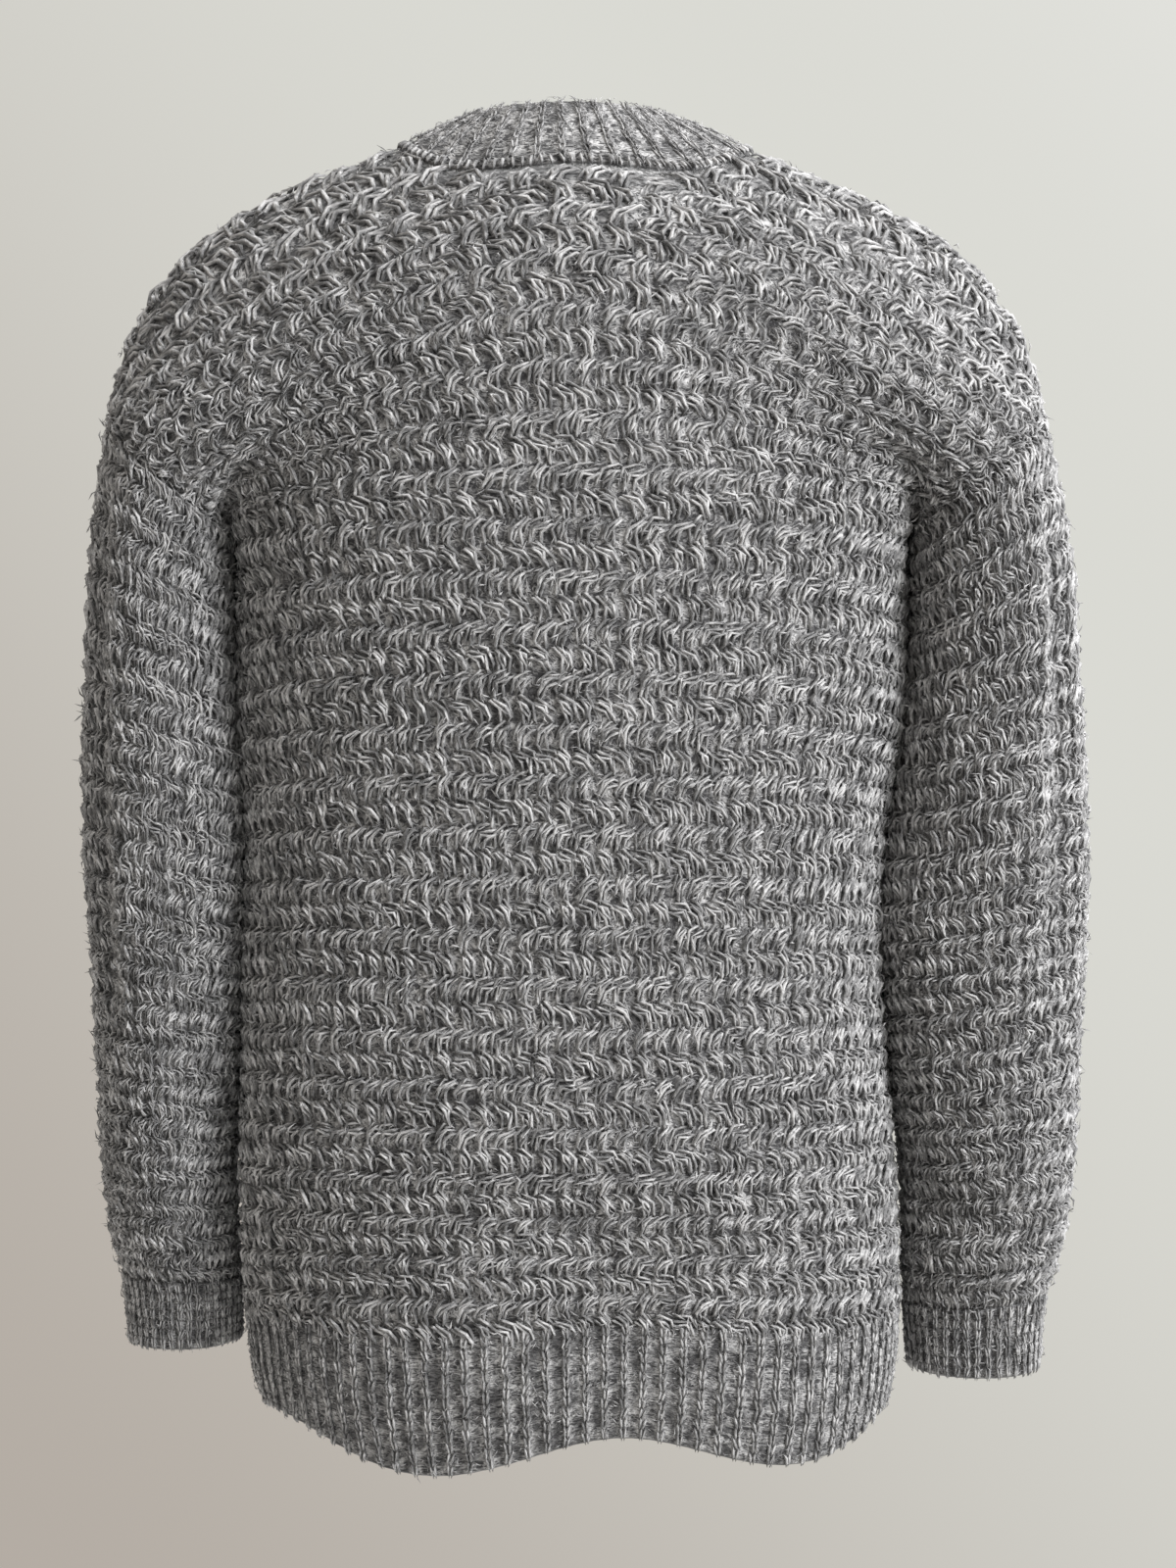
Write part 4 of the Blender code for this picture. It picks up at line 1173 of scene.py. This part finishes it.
def make_neckband(context):
    knit = context.scene.sweater_knit
    around = (np.arange(LINKS) + 0.5) / LINKS
    points, normals = neckband(around, LINK_RISE + LINK_STEP * np.arange(-1, 2))
    points = points + normals * (RIB_GROUND_FACES[0] + LINK_OUT)
    places = places_on((points, normals), 1.0, True, np.zeros(3, dtype=bool))
    places = chosen(places, np.repeat([False, True, False], LINKS))
    places = loosened(places, "neckband_links", knit.looseness, RIB_SHIFT)
    link = yarn("link", [LINK_PATH], np.array(LINK_GIRTH) * knit.rib_yarn_radius, LEG_SIDES)
    size, kinds = np.ones((LINKS, 3)), np.zeros(LINKS)
    links = set_patterns("neckband_links", places, size, kinds, [link], finishes(context)["rib_yarn"])
    make_trim(context, "neckband", neckband, NECK, [links])


# ---- The studio ---------------------------------------------------------------------------------------------


def stage_finish(name, colour):
    made = Finish(name, roughness=0.9)
    grain = made.noise(made.object_place(), 6.0, 4.0, 0.6)
    return made.wear(made.mix(grain, [value * FLOOR_GRAIN for value in colour], colour))


def studio_air(stage):
    """The surround, in four tones from the window's side round to the dark one."""
    world = bpy.data.worlds.new("studio_air")
    world.use_nodes = True
    air = Nodes(world.node_tree)
    left, high = air.axes(air.node("TexCoord", {}, {}, "Generated"), "XZ")
    low, top = WALL_SPREAD
    away = air.node("MapRange", {}, {"Value": high * WALL_SLOPE + left, "From Min": low, "From Max": top})
    tones = (stage.window_colour, stage.wall_colour, stage.shade_colour, stage.dark_colour)
    tone = air.node("ValToRGB", {"stops": list(zip(WALL_STOPS, tones))}, {"Fac": away}, "Color")
    air.fill(world.node_tree.nodes["Background"], {"Strength": stage.wall_light, "Color": tone})
    return world


def area_light(name, at, size, colour, power):
    data = bpy.data.lights.new(name, "AREA")
    data.shape = "DISK"
    data.size = size
    data.energy = power
    data.color = colour
    lamp = placed(name, data)
    lamp.location = at
    lamp.visible_camera = False
    lamp.rotation_euler = (Vector(LIGHTS_AIM) - Vector(at)).to_track_quat("-Z", "Y").to_euler()


def make_stage(context):
    stage = context.scene.sweater_stage
    context.scene.world = studio_air(stage)
    context.scene.view_settings.view_transform = "Standard"

    angles = [2 * math.pi * step / FLOOR_SIDES for step in range(FLOOR_SIDES)]
    ring = [(FLOOR_RADIUS * math.cos(angle), FLOOR_RADIUS * math.sin(angle), FLOOR_HEIGHT) for angle in angles]
    data = bpy.data.meshes.new("floor")
    data.from_pydata(ring, [], [tuple(range(FLOOR_SIDES))])
    data.materials.append(stage_finish("pale_floor", stage.floor_colour))
    placed("floor", data)

    for name, at, size, colour, power in LIGHTS:
        area_light(name, at, size, colour, getattr(stage, power))

    data = bpy.data.cameras.new("camera")
    data.lens = CAMERA_LENS
    camera = placed("camera", data)
    camera.location = CAMERA_AT
    camera.rotation_euler = (math.radians(90), 0.0, math.radians(180))
    context.scene.camera = camera


# ---- The add-on ---------------------------------------------------------------------------------------------


def setting_of(kind, **limits):
    """Declares settings of one kind: each has its name, description and default."""
    return lambda name, description, default: kind(name=name, description=description, default=default, **limits)


length_setting = setting_of(FloatProperty, unit="LENGTH")
angle_setting = setting_of(FloatProperty, unit="ROTATION")
power_setting = setting_of(FloatProperty, unit="POWER")
share_setting = setting_of(FloatProperty, min=0, max=1)
factor_setting = setting_of(FloatProperty, min=0)
count_setting = setting_of(IntProperty, min=0)
colour_setting = setting_of(FloatVectorProperty, subtype="COLOR")


class SweaterKnitSettings(bpy.types.PropertyGroup):
    yarn_radius: length_setting("Yarn radius", "Half the thickness of a leaning stitch's strand", 0.0009)
    rib_yarn_radius: length_setting("Rib yarn radius", "Half the thickness of a rib stitch's leg", 0.0011)
    looseness: angle_setting("Looseness", "How far stitches turn from their rows", 0.14)
    fibre_length: length_setting("Fibre length", "Middle length of a loose fibre", 0.0062)
    fibre_width: length_setting("Fibre width", "Thickness of a loose tuft of fibres", 0.0009)
    ground_share: share_setting("Ground share", "How many of the loose fibres lie between stitches", 0.4)
    bent_share: share_setting("Bent share", "How many of the loose fibres are bent", 0.4)
    fibres_each: count_setting("Fibres per stitch", "Loose fibres on each leaning stitch", 5)
    rib_fibres: factor_setting("Rib fibres", "How long loose fibres are on the ribs, against the others", 0.62)


class SweaterColourSettings(bpy.types.PropertyGroup):
    dark_fibre: colour_setting("Dark fibre", "The yarn's darkest fibres", (0.030, 0.029, 0.031))
    middle_fibre: colour_setting("Middle fibre", "The haze's darkest fibres", (0.20, 0.195, 0.20))
    light_fibre: colour_setting("Light fibre", "The yarn's lightest fibres", (0.62, 0.61, 0.61))
    bright_fibre: colour_setting("Bright fibre", "The haze's lightest fibres", (0.62, 0.61, 0.61))


class SweaterStageSettings(bpy.types.PropertyGroup):
    window_colour: colour_setting("Window side", "The surround beside the light", (1.0, 1.0, 1.0))
    wall_colour: colour_setting("Lit wall", "The pale surround near the light", (0.70, 0.70, 0.655))
    shade_colour: colour_setting("Shaded wall", "The pale surround away from it", (0.455, 0.412, 0.368))
    dark_colour: colour_setting("Dark wall", "The surround far from the light", (0.13, 0.12, 0.11))
    wall_light: factor_setting("Wall light", "How bright the surround is", 1.0)
    floor_colour: colour_setting("Floor", "The pale floor", (0.66, 0.655, 0.64))
    key_power: power_setting("Key light", "Soft light at the upper right of the back", 27)
    top_power: power_setting("Top light", "Soft light overhead", 12)
    fill_power: power_setting("Fill light", "Weak warm light at the left of the back", 1)
    front_power: power_setting("Front light", "Soft light on the front", 30)


class SWEATER_OT_panels(bpy.types.Operator):
    """Knit the back and front panels"""

    bl_idname = "sweater.panels"
    bl_label = "Panels"

    def execute(self, context):
        for face in ("back", "front"):
            make_panel(context, face)
        return {"FINISHED"}


class SWEATER_OT_sleeves(bpy.types.Operator):
    """Knit the two sleeves"""

    bl_idname = "sweater.sleeves"
    bl_label = "Sleeves"

    def execute(self, context):
        for side in ("left", "right"):
            make_sleeve(context, side)
        return {"FINISHED"}


class SWEATER_OT_hem_ribs(bpy.types.Operator):
    """Knit the back and front hem ribs"""

    bl_idname = "sweater.hem_ribs"
    bl_label = "Hem ribs"

    def execute(self, context):
        for face in ("back", "front"):
            make_hem_rib(context, face)
        return {"FINISHED"}


class SWEATER_OT_cuffs(bpy.types.Operator):
    """Knit the ribbed cuffs"""

    bl_idname = "sweater.cuffs"
    bl_label = "Cuffs"

    def execute(self, context):
        for side in ("left", "right"):
            make_cuff(context, side)
        return {"FINISHED"}


class SWEATER_OT_neckband(bpy.types.Operator):
    """Knit the ribbed neckband"""

    bl_idname = "sweater.neckband"
    bl_label = "Neckband"

    def execute(self, context):
        make_neckband(context)
        return {"FINISHED"}


class SWEATER_OT_stage(bpy.types.Operator):
    """Set up the pale studio, its soft lights and the camera"""

    bl_idname = "sweater.stage"
    bl_label = "Stage"

    def execute(self, context):
        make_stage(context)
        return {"FINISHED"}


OPERATORS = (
    SWEATER_OT_stage,
    SWEATER_OT_panels,
    SWEATER_OT_sleeves,
    SWEATER_OT_hem_ribs,
    SWEATER_OT_cuffs,
    SWEATER_OT_neckband,
)
SETTINGS = {
    "sweater_knit": SweaterKnitSettings,
    "sweater_colours": SweaterColourSettings,
    "sweater_stage": SweaterStageSettings,
}


class SWEATER_PT_sidebar(bpy.types.Panel):
    """The sweater's pieces and settings"""

    bl_idname = "SWEATER_PT_sidebar"
    bl_label = "Sweater"
    bl_space_type = "VIEW_3D"
    bl_region_type = "UI"
    bl_category = "Sweater"

    def draw(self, context):
        for group in SETTINGS:
            box = self.layout.box()
            for name in getattr(context.scene, group).bl_rna.properties.keys():
                if name not in ("rna_type", "name"):
                    box.prop(getattr(context.scene, group), name)
        for operator in OPERATORS:
            self.layout.operator(operator.bl_idname)


def register():
    for kind in (*SETTINGS.values(), *OPERATORS, SWEATER_PT_sidebar):
        bpy.utils.register_class(kind)
    for name, kind in SETTINGS.items():
        setattr(bpy.types.Scene, name, PointerProperty(type=kind))


def unregister():
    for name in SETTINGS:
        delattr(bpy.types.Scene, name)
    for kind in (SWEATER_PT_sidebar, *OPERATORS, *SETTINGS.values()):
        bpy.utils.unregister_class(kind)


def main():
    register()
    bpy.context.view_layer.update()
    for operator in OPERATORS:
        group, name = operator.bl_idname.split(".")
        getattr(getattr(bpy.ops, group), name)()


if __name__ == "__main__":
    main()
